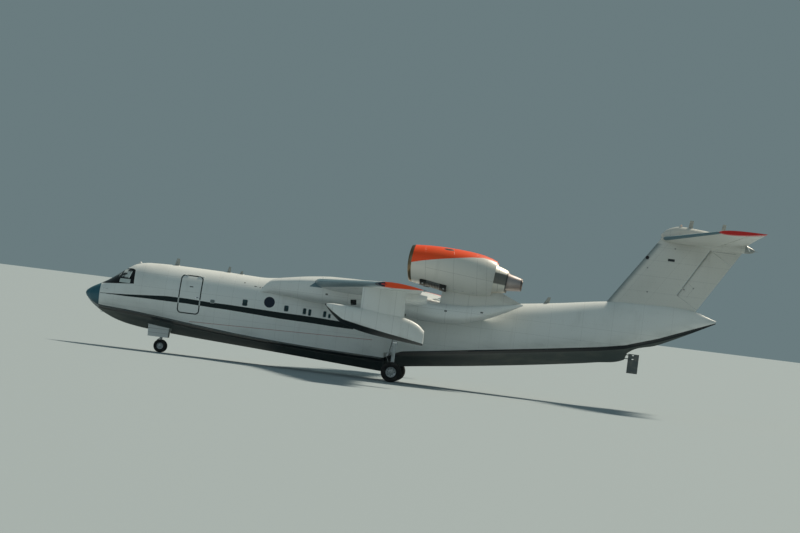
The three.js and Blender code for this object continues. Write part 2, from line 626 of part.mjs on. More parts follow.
// The fan: a spinner and hub with twisted blades.
function fanSolid(matrix) {
  let solid = turned(SPINNER_PROFILE, SPINNER_SIDES, matrix);
  for (let k = 0; k < FAN.blades; k++) {
    const turn = new THREE.Matrix4().makeRotationY((2 * Math.PI * k) / FAN.blades);
    const bladeEnds = [[FAN.rootRadius, FAN.rootTwist], [NACELLE.fanRadius, FAN.tipTwist]];
    const rings = bladeEnds.map(([radius, twist]) => {
      const cos = Math.cos(twist), sin = Math.sin(twist), reach = FAN.chord / 2, thick = FAN.bladeThick / 2;
      return [[-reach, -thick], [reach, -thick], [reach, thick], [-reach, thick]].map(([along, out]) =>
        new THREE.Vector3(along * sin + out * cos, FAN.station + along * cos - out * sin, radius)
          .applyMatrix4(turn).applyMatrix4(matrix));
    });
    solid = solid.add(loft(rings));
  }
  return solid;
}

// The tail: fin, rudder, bullet, tailplane and elevators.
function finEdges(level) {
  const up = level - FIN.foot;
  return [FIN.lead + up * FIN.leadSlope, FIN.trail + up * FIN.trailSlope];
}

function finRing(level, chordLimit = Infinity) {
  const [lead, trail] = finEdges(level);
  const chord = Math.min(trail - lead, chordLimit);
  const side = AIRFOIL_STATIONS.map((x) => [lead + chord * x, chord * halfThickness(x, FIN.thick)]);
  return [
    ...side.map(([s, y]) => at(s, y, level)),
    at(lead, 0, level),
    ...side.reverse().map(([s, y]) => at(s, -y, level)),
  ];
}

const RUDDER_HINGE = [[27980, 3240], [29290, 5510]], RUDDER_LUGS = [0.15, 0.85];
const rudderEnds = RUDDER_HINGE.map(([station, level]) => {
  const [lead, trail] = finEdges(level);
  const half = (trail - lead) * halfThickness((station - lead) / (trail - lead), FIN.thick);
  return { point: at(station, 0, level), half };
});
const bulletTurns = Array.from({ length: BULLET_SIDES }, (_, k) => (2 * Math.PI * k) / BULLET_SIDES);
const bulletRing = ([station, bottom, top, width], grow) => {
  const middle = (top + bottom) / 2, half = (top - bottom) / 2 + grow;
  return bulletTurns.map((angle) =>
    at(station, (width + grow) * Math.cos(angle), middle + half * Math.sin(angle)));
};
const bulletSolid = (grow) => loft(BULLET_SECTIONS.map((section) => bulletRing(section, grow)));
const TAILPLANE_RIBS = [0, 2500, TAILPLANE.semiSpan];
const tailplaneHalf = (sign, drop = 0) => loft(TAILPLANE_RIBS.map((offset) => aerofoilRing(TAILPLANE, offset)
  .map((p) => p.setY(sign * offset).setZ(p.z - drop))));
const FIN_RIBS = [2300, 3400, 4600, FIN.top], FIN_CAP = { level: 5900, chord: 900 };
const finWhole = loft([...FIN_RIBS.map((level) => finRing(level)), finRing(FIN_CAP.level, FIN_CAP.chord)])
  .subtract(loft(AFTERBODY_SECTIONS.map((section) => hullRing(section, -MATE_GAP))))
  .subtract(bulletSolid(MATE_GAP))
  .subtract(tailplaneHalf(-1, MATE_GAP))
  .subtract(tailplaneHalf(1, MATE_GAP));
const rudder = splitMovable(finWhole, rudderEnds, RUDDER_LUGS);
add("fin", rudder.fixed, "wing");
add("rudder", rudder.moving, "wing");

const ELEVATOR = { line: 0.7, from: 420, to: 4350, lugs: [0.12, 0.88], bulletClear: 55 };
let tailplane = null;
const elevators = [];
for (const [side, sign] of SIDES) {
  const ends = [ELEVATOR.from, ELEVATOR.to].map((offset) => {
    const { point, half } = meanPoint(TAILPLANE, offset, ELEVATOR.line);
    return { point: point.setY(sign * offset), half };
  });
  const split = splitMovable(tailplaneHalf(sign), ends, ELEVATOR.lugs);
  tailplane = tailplane ? tailplane.add(split.fixed) : split.fixed;
  elevators.push([`elevator_${side}`, split.moving]);
}
for (const [name, solid] of elevators) add(name, solid.subtract(bulletSolid(ELEVATOR.bulletClear)), "wing");
add("tailplane", tailplane.subtract(bulletSolid(MATE_GAP)), "wing");
let bullet = bulletSolid(0);
for (const [station, foot, head, lean] of BULLET_AERIALS) {
  const ends = [[station, foot, ...AERIAL_FOOT], [station + lean, head, ...AERIAL_HEAD]];
  bullet = bullet.add(loft(ends.map(([middle, level, half, width]) =>
    [[-half, -width], [half, -width], [half, width], [-half, width]]
      .map(([s, y]) => at(middle + s, y, level)))));
}
add("tail_bullet", bullet, "hull");

// The water rudder, on two lugs that stand out of the sternpost.
let waterRudder = loft([WATER_RUDDER.foot, WATER_RUDDER.top].map((level) => {
  const { station, chord, half, nose, noseShare, trailShare } = WATER_RUDDER;
  const side = [[-nose * noseShare, half], [nose, half], [chord, half * trailShare]];
  const outline = [[-nose, 0], ...side, ...side.map(([s, y]) => [s, -y]).reverse()];
  return outline.map(([s, y]) => at(station + s, y, level));
}));
let afterbody = afterbodySolid;
for (const level of WATER_RUDDER.lugs) {
  const { station, half, nose, lugFront, lugHalf } = WATER_RUDDER;
  const lug = (front, back, width, height) =>
    box([front, back], [-width, width], [level - height, level + height]);
  afterbody = afterbody.add(lug(lugFront, station + nose, half, lugHalf));
  waterRudder = waterRudder.subtract(lug(lugFront, station + 2 * nose, 4 * half, lugHalf + MATE_GAP));
}
add("water_rudder", waterRudder, "leg");
add("aft_hull", afterbody, "hull");

// Wheels: tyres on hubs that an axle joins in pairs.
function wheelMatrix(station, offset, level, sides) {
  const turn = new THREE.Matrix4().makeRotationY(Math.PI / sides);
  return new THREE.Matrix4().makeTranslation(at(station, offset, level)).multiply(turn);
}

function tyreProfile(radius, width, sides) {
  const SHOULDER = 0.93, WALL = 0.74, SHOULDER_WIDTH = 0.88, TREAD_WIDTH = 0.5;
  const outer = radius / Math.cos(Math.PI / sides), half = width / 2;
  const side = [
    [half * DISC_SHARE, radius * BEAD], [half, radius * WALL],
    [half * SHOULDER_WIDTH, radius * SHOULDER], [half * TREAD_WIDTH, outer],
  ];
  return [...side.map(([x, r]) => [-x, r]), ...side.reverse()];
}

function wheelSet(name, gear, station, offset, axleRadius, hubName) {
  const sides = WHEEL_SIDES, level = gear.wheelRadius - NOSE_HEIGHT;
  const out = (gear.wheelGap + gear.tyreWidth) / 2;
  const rim = gear.wheelRadius * BEAD - MATE_GAP, half = (gear.tyreWidth / 2) * DISC_SHARE;
  const discProfile = [[-half, 0], [-half, rim], [half, rim], [half, 0]];
  const discs = [-out, out].map((middle) =>
    turned(discProfile, sides, wheelMatrix(station, offset + middle, level, sides)));
  const axle = turned([[-out, 0], [-out, axleRadius], [out, axleRadius], [out, 0]], ROUND_SIDES,
    wheelMatrix(station, offset, level, ROUND_SIDES));
  add(hubName, discs[0].add(discs[1]).add(axle), "hub");
  for (const [end, sign] of [["a", -1], ["b", 1]]) {
    const matrix = wheelMatrix(station, offset + sign * out, level, sides);
    const profile = tyreProfile(gear.wheelRadius, gear.tyreWidth, sides);
    add(`${name}_${end}`, turned(profile, sides, matrix), "tyre");
  }
}

// A leg's foot: a sleeve across the leg, between the discs of its wheels, that the axle turns in.
function axleSleeve(gear, leg, station, offset, level) {
  const half = gear.wheelGap / 2 + (gear.tyreWidth / 2) * (1 - DISC_SHARE) - MATE_GAP;
  const across = (reach, radius) =>
    bar(at(station, offset - reach, level), at(station, offset + reach, level), radius, radius, ROUND_SIDES);
  return {
    sleeve: across(half, leg.axle + leg.sleeveWall),
    hole: across(half + BORE_OVERRUN, leg.axle + AXLE_CLEAR),
  };
}

function torqueLinks(corners, station, offset, half) {
  const [upper, lower] = corners.map((outline) =>
    slab(outline.map(([aft, level]) => at(station + aft, offset, level)), Y_STARBOARD, half));
  return upper.add(lower);
}

function upright(station, offset, head, foot, radius) {
  return bar(at(station, offset, head), at(station, offset, foot), radius, radius, ROUND_SIDES);
}

function gearDoor(name, bay, offset, { levels: [head, foot], half, inset, footInset }) {
  const front = bay.stations[0] + inset, back = bay.stations[1] - inset;
  const corners = [[front, head], [back, head], [back - footInset, foot], [front + footInset, foot]];
  add(name, slab(corners.map(([station, level]) => at(station, offset, level)), Y_STARBOARD, half), "hull");
}

// The nose gear: a fixed leg, and a fork that turns in it and carries the wheels and the towing lug.
const noseLevel = NOSE_GEAR.wheelRadius - NOSE_HEIGHT, noseStation = NOSE_GEAR.station;
const noseSleeve = axleSleeve(NOSE_GEAR, NOSE_LEG, noseStation, 0, noseLevel);
const forkTop = NOSE_GEAR.barrelFoot - MATE_GAP, { towLug } = NOSE_LEG;
const noseFork = upright(noseStation, 0, forkTop, noseLevel, NOSE_LEG.tube)
  .add(upright(noseStation, 0, forkTop, NOSE_GEAR.barrelFoot - NOSE_LEG.collarDepth, NOSE_LEG.collar))
  .add(noseSleeve.sleeve)
  .add(torqueLinks(NOSE_LINKS, noseStation, 0, NOSE_LEG.linkHalf))
  .add(box(towLug.stations, [-towLug.half, towLug.half],
    [noseLevel - towLug.height, noseLevel + towLug.height]))
  .subtract(noseSleeve.hole);
const noseBrace = bar(
  at(noseStation, 0, NOSE_LEG.braceFoot),
  at(NOSE_LEG.braceStation, 0, NOSE_GEAR.legTop - NOSE_LEG.braceDrop),
  NOSE_LEG.brace, NOSE_LEG.brace, BRACE_SIDES);
const noseLeg = upright(noseStation, 0, NOSE_GEAR.legTop - MATE_GAP, NOSE_GEAR.barrelFoot, NOSE_LEG.barrel)
  .add(upright(noseStation, 0, ...NOSE_LEG.shoulderLevels, NOSE_LEG.shoulder))
  .add(noseBrace)
  .add(box(NOSE_LEG.anchorStations, [-NOSE_LEG.anchorHalf, NOSE_LEG.anchorHalf],
    [NOSE_GEAR.legTop - NOSE_LEG.anchorDepth, NOSE_GEAR.legTop - MATE_GAP]));
wheelSet("nose_tyre", NOSE_GEAR, noseStation, 0, NOSE_LEG.axle, "nose_wheel_hub");
add("nose_leg", noseLeg, "leg");
add("nose_fork", noseFork, "leg");

for (const [side, sign] of SIDES) {
  for (const [name, bay, wallOffset, door] of [
    ["nose_gear_door", NOSE_BAY, NOSE_BAY.half, NOSE_DOOR],
    ["main_gear_door", MAIN_BAY, MAIN_BAY.offsets[1], MAIN_DOOR],
  ]) {
    gearDoor(`${name}_${side}`, bay, sign * (wallOffset - door.half - MATE_GAP), door);
  }

  const { station, offset, legTop, wheelRadius } = MAIN_GEAR;
  const middle = sign * offset, axleLevel = wheelRadius - NOSE_HEIGHT, seat = legTop - MATE_GAP;
  const anchorLevels = [legTop - MAIN_LEG.anchorDepth, seat], braceHead = legTop - MAIN_LEG.braceDrop;
  const sideMiddle = (sign * (MAIN_LEG.sideAnchor[0] + MAIN_LEG.sideAnchor[1])) / 2;
  const dragMiddle = (MAIN_LEG.dragAnchor[0] + MAIN_LEG.dragAnchor[1]) / 2;
  const foot = axleSleeve(MAIN_GEAR, MAIN_LEG, station, middle, axleLevel);
  const leg = upright(station, middle, seat, MAIN_LEG.barrelFoot, MAIN_LEG.barrel)
    .add(upright(station, middle, MAIN_LEG.tubeHead, axleLevel, MAIN_LEG.tube))
    .add(upright(station, middle, ...MAIN_LEG.collarLevels, MAIN_LEG.collar))
    .add(foot.sleeve)
    .add(bar(at(station, middle, MAIN_LEG.sideBraceFoot), at(station, sideMiddle, braceHead),
      MAIN_LEG.sideBrace, MAIN_LEG.sideBrace, BRACE_SIDES))
    .add(bar(at(station, middle, MAIN_LEG.dragBraceFoot), at(dragMiddle, middle, braceHead),
      MAIN_LEG.dragBrace, MAIN_LEG.dragBrace, BRACE_SIDES))
    .add(box([station - MAIN_LEG.sideAnchorHalf, station + MAIN_LEG.sideAnchorHalf],
      mirrored(...MAIN_LEG.sideAnchor, sign), anchorLevels))
    .add(box(MAIN_LEG.dragAnchor,
      [middle - MAIN_LEG.dragAnchorHalf, middle + MAIN_LEG.dragAnchorHalf], anchorLevels))
    .add(torqueLinks(MAIN_LINKS, station, middle, MAIN_LEG.linkHalf))
    .subtract(foot.hole);
  wheelSet(`main_tyre_${side}`, MAIN_GEAR, station, middle, MAIN_LEG.axle, `main_wheel_hub_${side}`);
  add(`main_leg_${side}`, leg, "leg");
}

export default aircraft;
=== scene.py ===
# The looks of a twin-jet amphibious flying boat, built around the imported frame.
# Metres. A station is a distance aft of the nose tip, and a level is a height over the nose tip.
import math

import bmesh
import bpy
import numpy as np
from mathutils import Matrix, Vector


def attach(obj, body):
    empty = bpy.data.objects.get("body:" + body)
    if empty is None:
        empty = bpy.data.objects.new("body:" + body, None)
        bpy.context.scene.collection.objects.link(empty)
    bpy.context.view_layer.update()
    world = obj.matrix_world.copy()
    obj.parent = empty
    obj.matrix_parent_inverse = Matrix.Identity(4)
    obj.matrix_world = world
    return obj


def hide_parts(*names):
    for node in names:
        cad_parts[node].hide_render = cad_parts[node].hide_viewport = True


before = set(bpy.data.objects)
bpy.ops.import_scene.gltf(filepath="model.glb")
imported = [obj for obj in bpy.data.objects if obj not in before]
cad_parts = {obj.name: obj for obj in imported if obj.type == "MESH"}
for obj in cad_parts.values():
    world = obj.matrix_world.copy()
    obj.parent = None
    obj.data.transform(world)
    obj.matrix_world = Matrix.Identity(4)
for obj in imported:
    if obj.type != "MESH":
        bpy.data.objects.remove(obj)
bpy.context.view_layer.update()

HALF_LENGTH = 15.715
NOSE_HEIGHT = 2.41
SIDES = (("port", -1), ("stbd", 1))

# Columns: station, keel level, chine half-beam, chine level, half-width, widest level, crown level.
FORE_SECTIONS = [
    [0, -0.014, 0.010, -0.008, 0.014, 0.0, 0.014],
    [0.03, -0.100, 0.060, -0.080, 0.090, 0.0, 0.092],
    [0.09, -0.180, 0.110, -0.140, 0.165, 0.0, 0.160],
    [0.30, -0.405, 0.240, -0.318, 0.345, 0.005, 0.318],
    [0.72, -0.705, 0.400, -0.515, 0.570, 0.015, 0.552],
    [1.00, -0.855, 0.520, -0.545, 0.725, 0.025, 0.722],
    [1.50, -1.065, 0.690, -0.570, 0.940, 0.050, 1.090],
    [1.90, -1.180, 0.810, -0.588, 1.075, 0.078, 1.390],
    [2.30, -1.260, 0.900, -0.615, 1.180, 0.105, 1.632],
    [2.90, -1.342, 1.010, -0.660, 1.300, 0.130, 1.752],
    [4.10, -1.442, 1.160, -0.765, 1.400, 0.160, 1.788],
    [5.50, -1.525, 1.240, -0.907, 1.430, 0.175, 1.778],
    [7.40, -1.620, 1.290, -1.080, 1.430, 0.158, 1.745],
    [8.30, -1.665, 1.305, -1.143, 1.430, 0.150, 1.724],
    [9.20, -1.712, 1.315, -1.192, 1.430, 0.142, 1.815],
    [10.0, -1.755, 1.320, -1.230, 1.430, 0.135, 1.940],
    [11.2, -1.820, 1.320, -1.277, 1.430, 0.125, 2.115],
    [12.6, -1.900, 1.320, -1.320, 1.430, 0.112, 2.185],
    [14.5, -2.000, 1.320, -1.360, 1.430, 0.095, 2.190],
]
AFT_SECTIONS = [
    [14.5003, -1.760, 1.310, -1.080, 1.430, 0.095, 2.190],
    [15.3, -1.660, 1.300, -0.960, 1.430, 0.095, 2.010],
    [16.1, -1.550, 1.290, -0.845, 1.430, 0.095, 1.740],
    [17.0, -1.435, 1.250, -0.720, 1.420, 0.105, 1.640],
    [18.2, -1.280, 1.200, -0.543, 1.400, 0.140, 1.680],
    [20.3, -0.985, 1.060, -0.240, 1.300, 0.335, 1.955],
    [22.4, -0.667, 0.860, 0.070, 1.120, 0.665, 2.250],
    [24.45, -0.322, 0.600, 0.382, 0.880, 1.070, 2.580],
    [25.77, -0.027, 0.400, 0.632, 0.720, 1.337, 2.730],
    [25.87, 0.289, 0.380, 0.675, 0.705, 1.364, 2.735],
    [27.23, 0.835, 0.270, 1.122, 0.520, 1.708, 2.750],
    [28.6, 1.506, 0.160, 1.678, 0.320, 2.047, 2.660],
    [29.84, 2.158, 0.025, 2.180, 0.060, 2.233, 2.295],
]
# Columns: station, bottom level, top level, innermost offset, outermost offset.
FAIRING_SECTIONS = [
    [8.35, 0.950, 1.150, 0.250, 1.210],
    [8.60, 0.960, 1.500, 0.250, 1.330],
    [8.90, 0.985, 1.720, 0.250, 1.500],
    [9.70, 0.950, 1.900, 0.250, 1.900],
    [10.85, 0.850, 2.080, 0.250, 2.480],
    [11.75, 0.810, 2.160, 0.250, 2.800],
    [13.8, 0.745, 2.185, 0.250, 2.960],
    [14.7, 0.710, 2.160, 0.250, 2.980],
    [15.3, 0.685, 2.000, 0.250, 2.980],
    [16.1, 0.620, 1.735, 0.400, 2.980],
    [16.95, 0.600, 1.630, 0.550, 2.960],
    [17.85, 0.690, 1.660, 0.750, 2.880],
    [19.1, 1.060, 1.790, 1.250, 2.760],
    [19.92, 1.440, 1.870, 1.750, 2.670],
    [20.72, 1.880, 1.960, 2.380, 2.600],
]
# Columns: station, keel level, chine level, half-width, top level.
FLOAT_SECTIONS = [
    [12.27, 0.830, 0.845, 0.030, 0.880],
    [12.40, 0.690, 0.745, 0.090, 0.900],
    [12.65, 0.440, 0.560, 0.170, 0.925],
    [13.1, 0.120, 0.290, 0.280, 0.915],
    [14.0, -0.140, 0.110, 0.370, 0.850],
    [15.1, -0.290, -0.085, 0.390, 0.755],
    [15.8, -0.360, -0.190, 0.370, 0.670],
    [16.4, -0.410, -0.300, 0.320, 0.450],
    [16.68, -0.430, -0.350, 0.270, 0.210],
]
# Columns: station, bottom level, top level, half-width.
BULLET_SECTIONS = [
    [26.79, 5.990, 6.075, 0.040],
    [26.96, 5.780, 6.265, 0.140],
    [27.22, 5.655, 6.420, 0.225],
    [27.64, 5.600, 6.535, 0.275],
    [28.64, 5.585, 6.490, 0.285],
    [29.68, 5.600, 6.340, 0.250],
    [30.74, 5.640, 6.080, 0.160],
    [31.00, 5.655, 5.970, 0.140],
    [31.17, 5.700, 5.895, 0.095],
    [31.26, 5.765, 5.825, 0.035],
]
RING_STEPS = dict(keel=4, rail=3, side=9, roof=18)
FAIRING_BOXINESS = 0.55
FLOAT_OFFSET = 13.0
WING = dict(lead=10.31, sweep=0.263, root=5.34, tip=1.94, semi=16.39, level=1.765, dihedral=0.0137)
TAILPLANE = dict(lead=26.77, sweep=0.498)
FIN = dict(lead=24.547, slope=0.672, foot=2.5, half=0.40)
ENGINE = dict(station=15.4, level=3.325, offset=2.5, droop=math.atan(0.0906))
# Columns: distance aft of the lip along the engine axis, radius.
LIP_PROFILE = [
    (0.21, 0.688), (0.07, 0.700), (-0.03, 0.735), (-0.08, 0.775),
    (-0.09, 0.800), (-0.075, 0.826), (-0.03, 0.850), (0.06, 0.869),
]
LIP_BACK = [(0.06, 0.864), (0.209, 0.690)]
COWL_PROFILE = [
    (0.06, 0.868), (0.40, 0.886), (0.7, 0.905), (1.15, 0.945), (1.6, 0.975), (2.05, 0.997), (2.5, 1.005),
    (2.9, 0.993), (3.2, 0.970), (3.6, 0.895), (3.86, 0.815),
    (3.86, 0.795), (3.3, 0.790), (1.25, 0.705), (0.21, 0.6885),
]
COWL_OUTSIDE = COWL_PROFILE[1:11]
FAN_NOZZLE_PROFILE = [
    (3.3, 0.775), (3.86, 0.655), (4.2, 0.572), (4.48, 0.490),
    (4.48, 0.465), (4.2, 0.540), (3.86, 0.610), (3.38, 0.640),
]
CORE_NOZZLE_PROFILE = [
    (3.38, 0.43), (4.44, 0.400), (4.8, 0.330), (5.17, 0.260),
    (5.17, 0.240), (4.8, 0.305), (4.44, 0.375), (3.38, 0.40),
]
NOZZLE_ROOM = [(3.861, 0.69), (4.5, 0.52), (5.25, 0)]
SPINNER_PROFILE = [
    (0.82, 0), (0.835, 0.035), (0.90, 0.11), (1.03, 0.165), (1.18, 0.2), (1.4197, 0.215), (1.4197, 0),
]
FAN = dict(blades=24, root=0.19, tip=0.682, station=1.33)
# Columns: share of the blade's half-chord, share of its thickness.
BLADE_SECTION = ((-1, 0), (-0.6, 0.8), (0, 1), (0.6, 0.7), (1, 0), (0.6, -0.3), (0, -0.5), (-0.6, -0.4))
VANES = dict(count=36, outline=((1.62, 0.012), (1.80, 0.0), (1.62, -0.004)), radii=(0.66, 0.712))
# Columns: leading edge, trailing edge, level.
PYLON_SECTIONS = ((16.85, 19.15, 1.45), (16.90, 20.66, 1.95), (17.01, 19.38, 2.48), (17.07, 19.16, 2.79))
FLOAT_PYLON_SECTIONS = ((13.81, 15.76, 0.58), (13.82, 15.68, 1.80))
# Columns: share of the chord, share of the half-width.
LENS = [[0, 0.05], [0.03, 0.35], [0.12, 0.75], [0.35, 1], [0.65, 0.9], [0.88, 0.5], [1, 0.06]]
DOOR = dict(stations=(4.59, 5.60), levels=(-0.390, 1.387), corner=0.17, wall=0.08, gap=0.007, room=0.42)
DOOR_HINGE = dict(offset=0.938, level=1.389, radius=0.030, knuckles=(4.775, 5.505), half=0.045, clear=0.006)
NOSE_BAY = dict(stations=(3.15, 4.25), half=0.33, top=-0.78)
MAIN_BAY = dict(stations=(14.63, 15.37), offsets=(1.6, 2.65), top=1.3)
NOSE_WHEEL_STATION = 3.85
MAIN_LEG = dict(station=15.0, offset=2.15)
WINDSCREEN = [(0.90, 0.64), (1.52, 0.64), (1.77, 1.51), (1.57, 1.51)]
SIDE_PANE = [(1.59, 0.64), (2.18, 0.66), (2.18, 1.25), (1.825, 1.43)]
GLASS_DEPTH = 0.045
MATE_GAP = 0.0003
WELD_REACH = 1e-5
# Columns: station, level, half-length, half-height of the small panes.
CABIN_WINDOWS = [
    (6.20, 0.31, 0.10, 0.07), (7.73, 0.435, 0.115, 0.145), (9.70, 0.405, 0.10, 0.135),
    (10.57, 0.38, 0.075, 0.14), (10.82, 0.35, 0.065, 0.15), (11.53, 0.36, 0.07, 0.14),
    (11.76, 0.30, 0.055, 0.10),
]
# Columns: name, station, height, chords at foot and head, lean.
ROOF_BLADES = (
    ("front", 4.17, 0.34, (0.24, 0.14), 0.04), ("middle", 6.66, 0.28, (0.18, 0.10), 0.03),
    ("rear", 7.26, 0.15, (0.15, 0.10), 0.03), ("aft", 21.8, 0.30, (0.26, 0.14), 0.12),
)


def at(station, offset, level):
    return Vector((station - HALF_LENGTH, offset, level + NOSE_HEIGHT))


# The camera stands where the photographer stood, abeam of the engines.
CAMERA = dict(
    place=at(21.5, -150, 1.0), yaw=0.0452584, pitch=0.0136037, roll=-0.1237630, focal=3165.88, width=800,
)
SENSOR_WIDTH = 36


def linked(name, data):
    made = bpy.data.objects.new(name, data)
    bpy.context.scene.collection.objects.link(made)
    return made


def make_camera():
    data = bpy.data.cameras.new("camera")
    camera = linked("camera", data)
    turn = Matrix.Identity(3)
    for angle, axis in (("yaw", "Z"), ("pitch", "X"), ("roll", "Y")):
        turn = turn @ Matrix.Rotation(CAMERA[angle], 3, axis)
    right, ahead, up = turn.col
    basis = Matrix((right, up, -ahead)).transposed().to_4x4()
    camera.matrix_world = Matrix.Translation(CAMERA["place"]) @ basis
    data.sensor_width = SENSOR_WIDTH
    data.lens = SENSOR_WIDTH * CAMERA["focal"] / CAMERA["width"]
    data.clip_start, data.clip_end = 1, 6000
    bpy.context.scene.camera = camera


# Curves through table rows that never overshoot between them.
def smooth_curve(xs, ys):
    xs, ys = np.array(xs, float), np.array(ys, float)
    steps, slopes = np.diff(xs), np.diff(ys) / np.diff(xs)
    tangents = np.zeros(len(xs))
    tangents[0], tangents[-1] = slopes[0], slopes[-1]
    for i in range(1, len(xs) - 1):
        if slopes[i - 1] * slopes[i] > 0:
            a, b = 2 * steps[i] + steps[i - 1], steps[i] + 2 * steps[i - 1]
            tangents[i] = (a + b) / (a / slopes[i - 1] + b / slopes[i])

    def value(x):
        i = int(np.clip(np.searchsorted(xs, x) - 1, 0, len(steps) - 1))
        t = (x - xs[i]) / steps[i]
        h = steps[i]
        return float(
            ys[i] * (1 + 2 * t) * (1 - t) ** 2 + tangents[i] * h * t * (1 - t) ** 2
            + ys[i + 1] * t * t * (3 - 2 * t) + tangents[i + 1] * h * t * t * (t - 1)
        )

    return value


def row_curves(table):
    stations, *columns = zip(*table)
    curves = [smooth_curve(stations, column) for column in columns]
    return lambda s: [s, *(curve(s) for curve in curves)]


fore_row, aft_row, fairing_row = map(row_curves, (FORE_SECTIONS, AFT_SECTIONS, FAIRING_SECTIONS))


def hull_row(station):
    return fore_row(station) if station <= FORE_SECTIONS[-1][0] else aft_row(station)


def mix(start, end, share):
    return start + (end - start) * share


def spread(start, end, count, power=1.0):
    return [mix(start, end, (i / (count - 1)) ** power) for i in range(count)]


def turns(count, shift=0.0):
    return [2 * math.pi * (k + shift) / count for k in range(count)]


# Meshes
def mesh_object(name, points, faces, weld=False):
    mesh = bpy.data.meshes.new(name)
    mesh.from_pydata([tuple(p) for p in points], [], faces)
    mesh.validate()
    work = bmesh.new()
    work.from_mesh(mesh)
    if weld:
        bmesh.ops.remove_doubles(work, verts=work.verts, dist=WELD_REACH)
        bmesh.ops.dissolve_degenerate(work, edges=work.edges, dist=WELD_REACH)
    bmesh.ops.recalc_face_normals(work, faces=work.faces)
    work.to_mesh(mesh)
    work.free()
    return linked(name, mesh)


def loft(name, rings, capped=True, ringed=True):
    """Skins rows of points. Capped rows get flat ends, others go round to the first row again."""
    count, total = len(rings[0]), len(rings)
    faces = []
    for i in range(total - 1 if capped else total):
        here, there = i * count, (i + 1) % total * count
        for j in range(count if ringed else count - 1):
            after = (j + 1) % count
            faces.append((here + j, there + j, there + after, here + after))
    if capped:
        faces += [tuple(range(count)), tuple(range((total - 1) * count, total * count))]
    return mesh_object(name, [p for ring in rings for p in ring], faces, weld=not ringed)


def lathe(name, profile, matrix, sides=72, hollow=True):
    """A solid of revolution of (distance, radius) points about the local X axis."""
    rings = [
        [matrix @ Vector((x, r * math.cos(a), r * math.sin(a))) for x, r in profile] for a in turns(sides)
    ]
    return loft(name, rings, False, hollow)


def combine(made, other, operation="DIFFERENCE"):
    cutter = made.modifiers.new("cut", "BOOLEAN")
    cutter.object, cutter.operation, cutter.solver = other, operation, "EXACT"
    bpy.context.view_layer.update()
    graph = bpy.context.evaluated_depsgraph_get()
    mesh = bpy.data.meshes.new_from_object(made.evaluated_get(graph))
    made.modifiers.clear()
    made.data = mesh
    bpy.data.objects.remove(other)
    return made


def join(name, parts):
    work = bmesh.new()
    for part in parts:
        work.from_mesh(part.data)
        bpy.data.objects.remove(part)
    mesh = bpy.data.meshes.new(name)
    work.to_mesh(mesh)
    work.free()
    return linked(name, mesh)


def prism(name, corners, offsets):
    return loft(name, [[at(s, y, z) for s, z in corners] for y in offsets])


def block(name, stations, offsets, levels):
    (s0, s1), (z0, z1) = stations, levels
    return prism(name, [(s0, z0), (s1, z0), (s1, z1), (s0, z1)], offsets)


def tube(name, path, radius, sides=12, taper=1.0):
    """A bar with flat ends along a path."""
    rings = []
    for i, point in enumerate(path):
        ahead = (path[min(i + 1, len(path) - 1)] - path[max(i - 1, 0)]).normalized()
        side = (Vector((0, 0, 1)) if abs(ahead.z) < 0.9 else Vector((1, 0, 0))).cross(ahead).normalized()
        up = ahead.cross(side)
        r = radius * mix(1, taper, i / (len(path) - 1))
        rings.append([point + side * (r * math.cos(a)) + up * (r * math.sin(a)) for a in turns(sides, 0.5)])
    return loft(name, rings)


def bar(name, spots, radius, sides=12, taper=1.0):
    return tube(name, [at(*spot) for spot in spots], radius, sides, taper)


def cap(name, profile, spot, sides=28, hollow=False):
    """A small turned piece that stands upright on a spot."""
    return lathe(name, profile, Matrix.Translation(at(*spot)) @ TURN_UP, sides, hollow)


def ring_profile(radius, thick):
    return [(thick * math.sin(a), radius + thick * math.cos(a)) for a in turns(10)]


TURN_SIDE = Matrix.Rotation(math.pi / 2, 4, "Z")
TURN_UP = Matrix.Rotation(-math.pi / 2, 4, "Y")


def rounded_rectangle(low, high, corner, steps=6):
    (s0, z0), (s1, z1) = [[value + corner for value in low], [value - corner for value in high]]
    out = []
    for cs, cz, start in ((s1, z1, 0), (s0, z1, 90), (s0, z0, 180), (s1, z0, 270)):
        for k in range(steps + 1):
            angle = math.radians(start + 90 * k / steps)
            out.append((cs + corner * math.cos(angle), cz + corner * math.sin(angle)))
    return out


def finish_piece(made, slot, paint, *nodes, body="airframe", angle=35, smooth=True):
    """Rides a piece on its body, gives its material and its smooth shading, and hides the nodes it stands
    for.
    """
    made.data.materials.clear()
    made.data.materials.append(paints[paint])
    if smooth:
        made.data.shade_smooth()
        made.data.set_sharp_from_angle(angle=math.radians(angle))
    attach(made, body)
    if nodes:
        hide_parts(*nodes)


# Procedural materials
def arithmetic(operation):
    """A method that puts a field and what is given with it through one math node."""
    def apply(self, *others):
        node = self.tree.nodes.new("ShaderNodeMath")
        node.operation = operation
        for socket, value in zip(node.inputs, (self, *others)):
            plug(self.tree, value, socket)
        return Field(self.tree, node.outputs[0])

    return apply


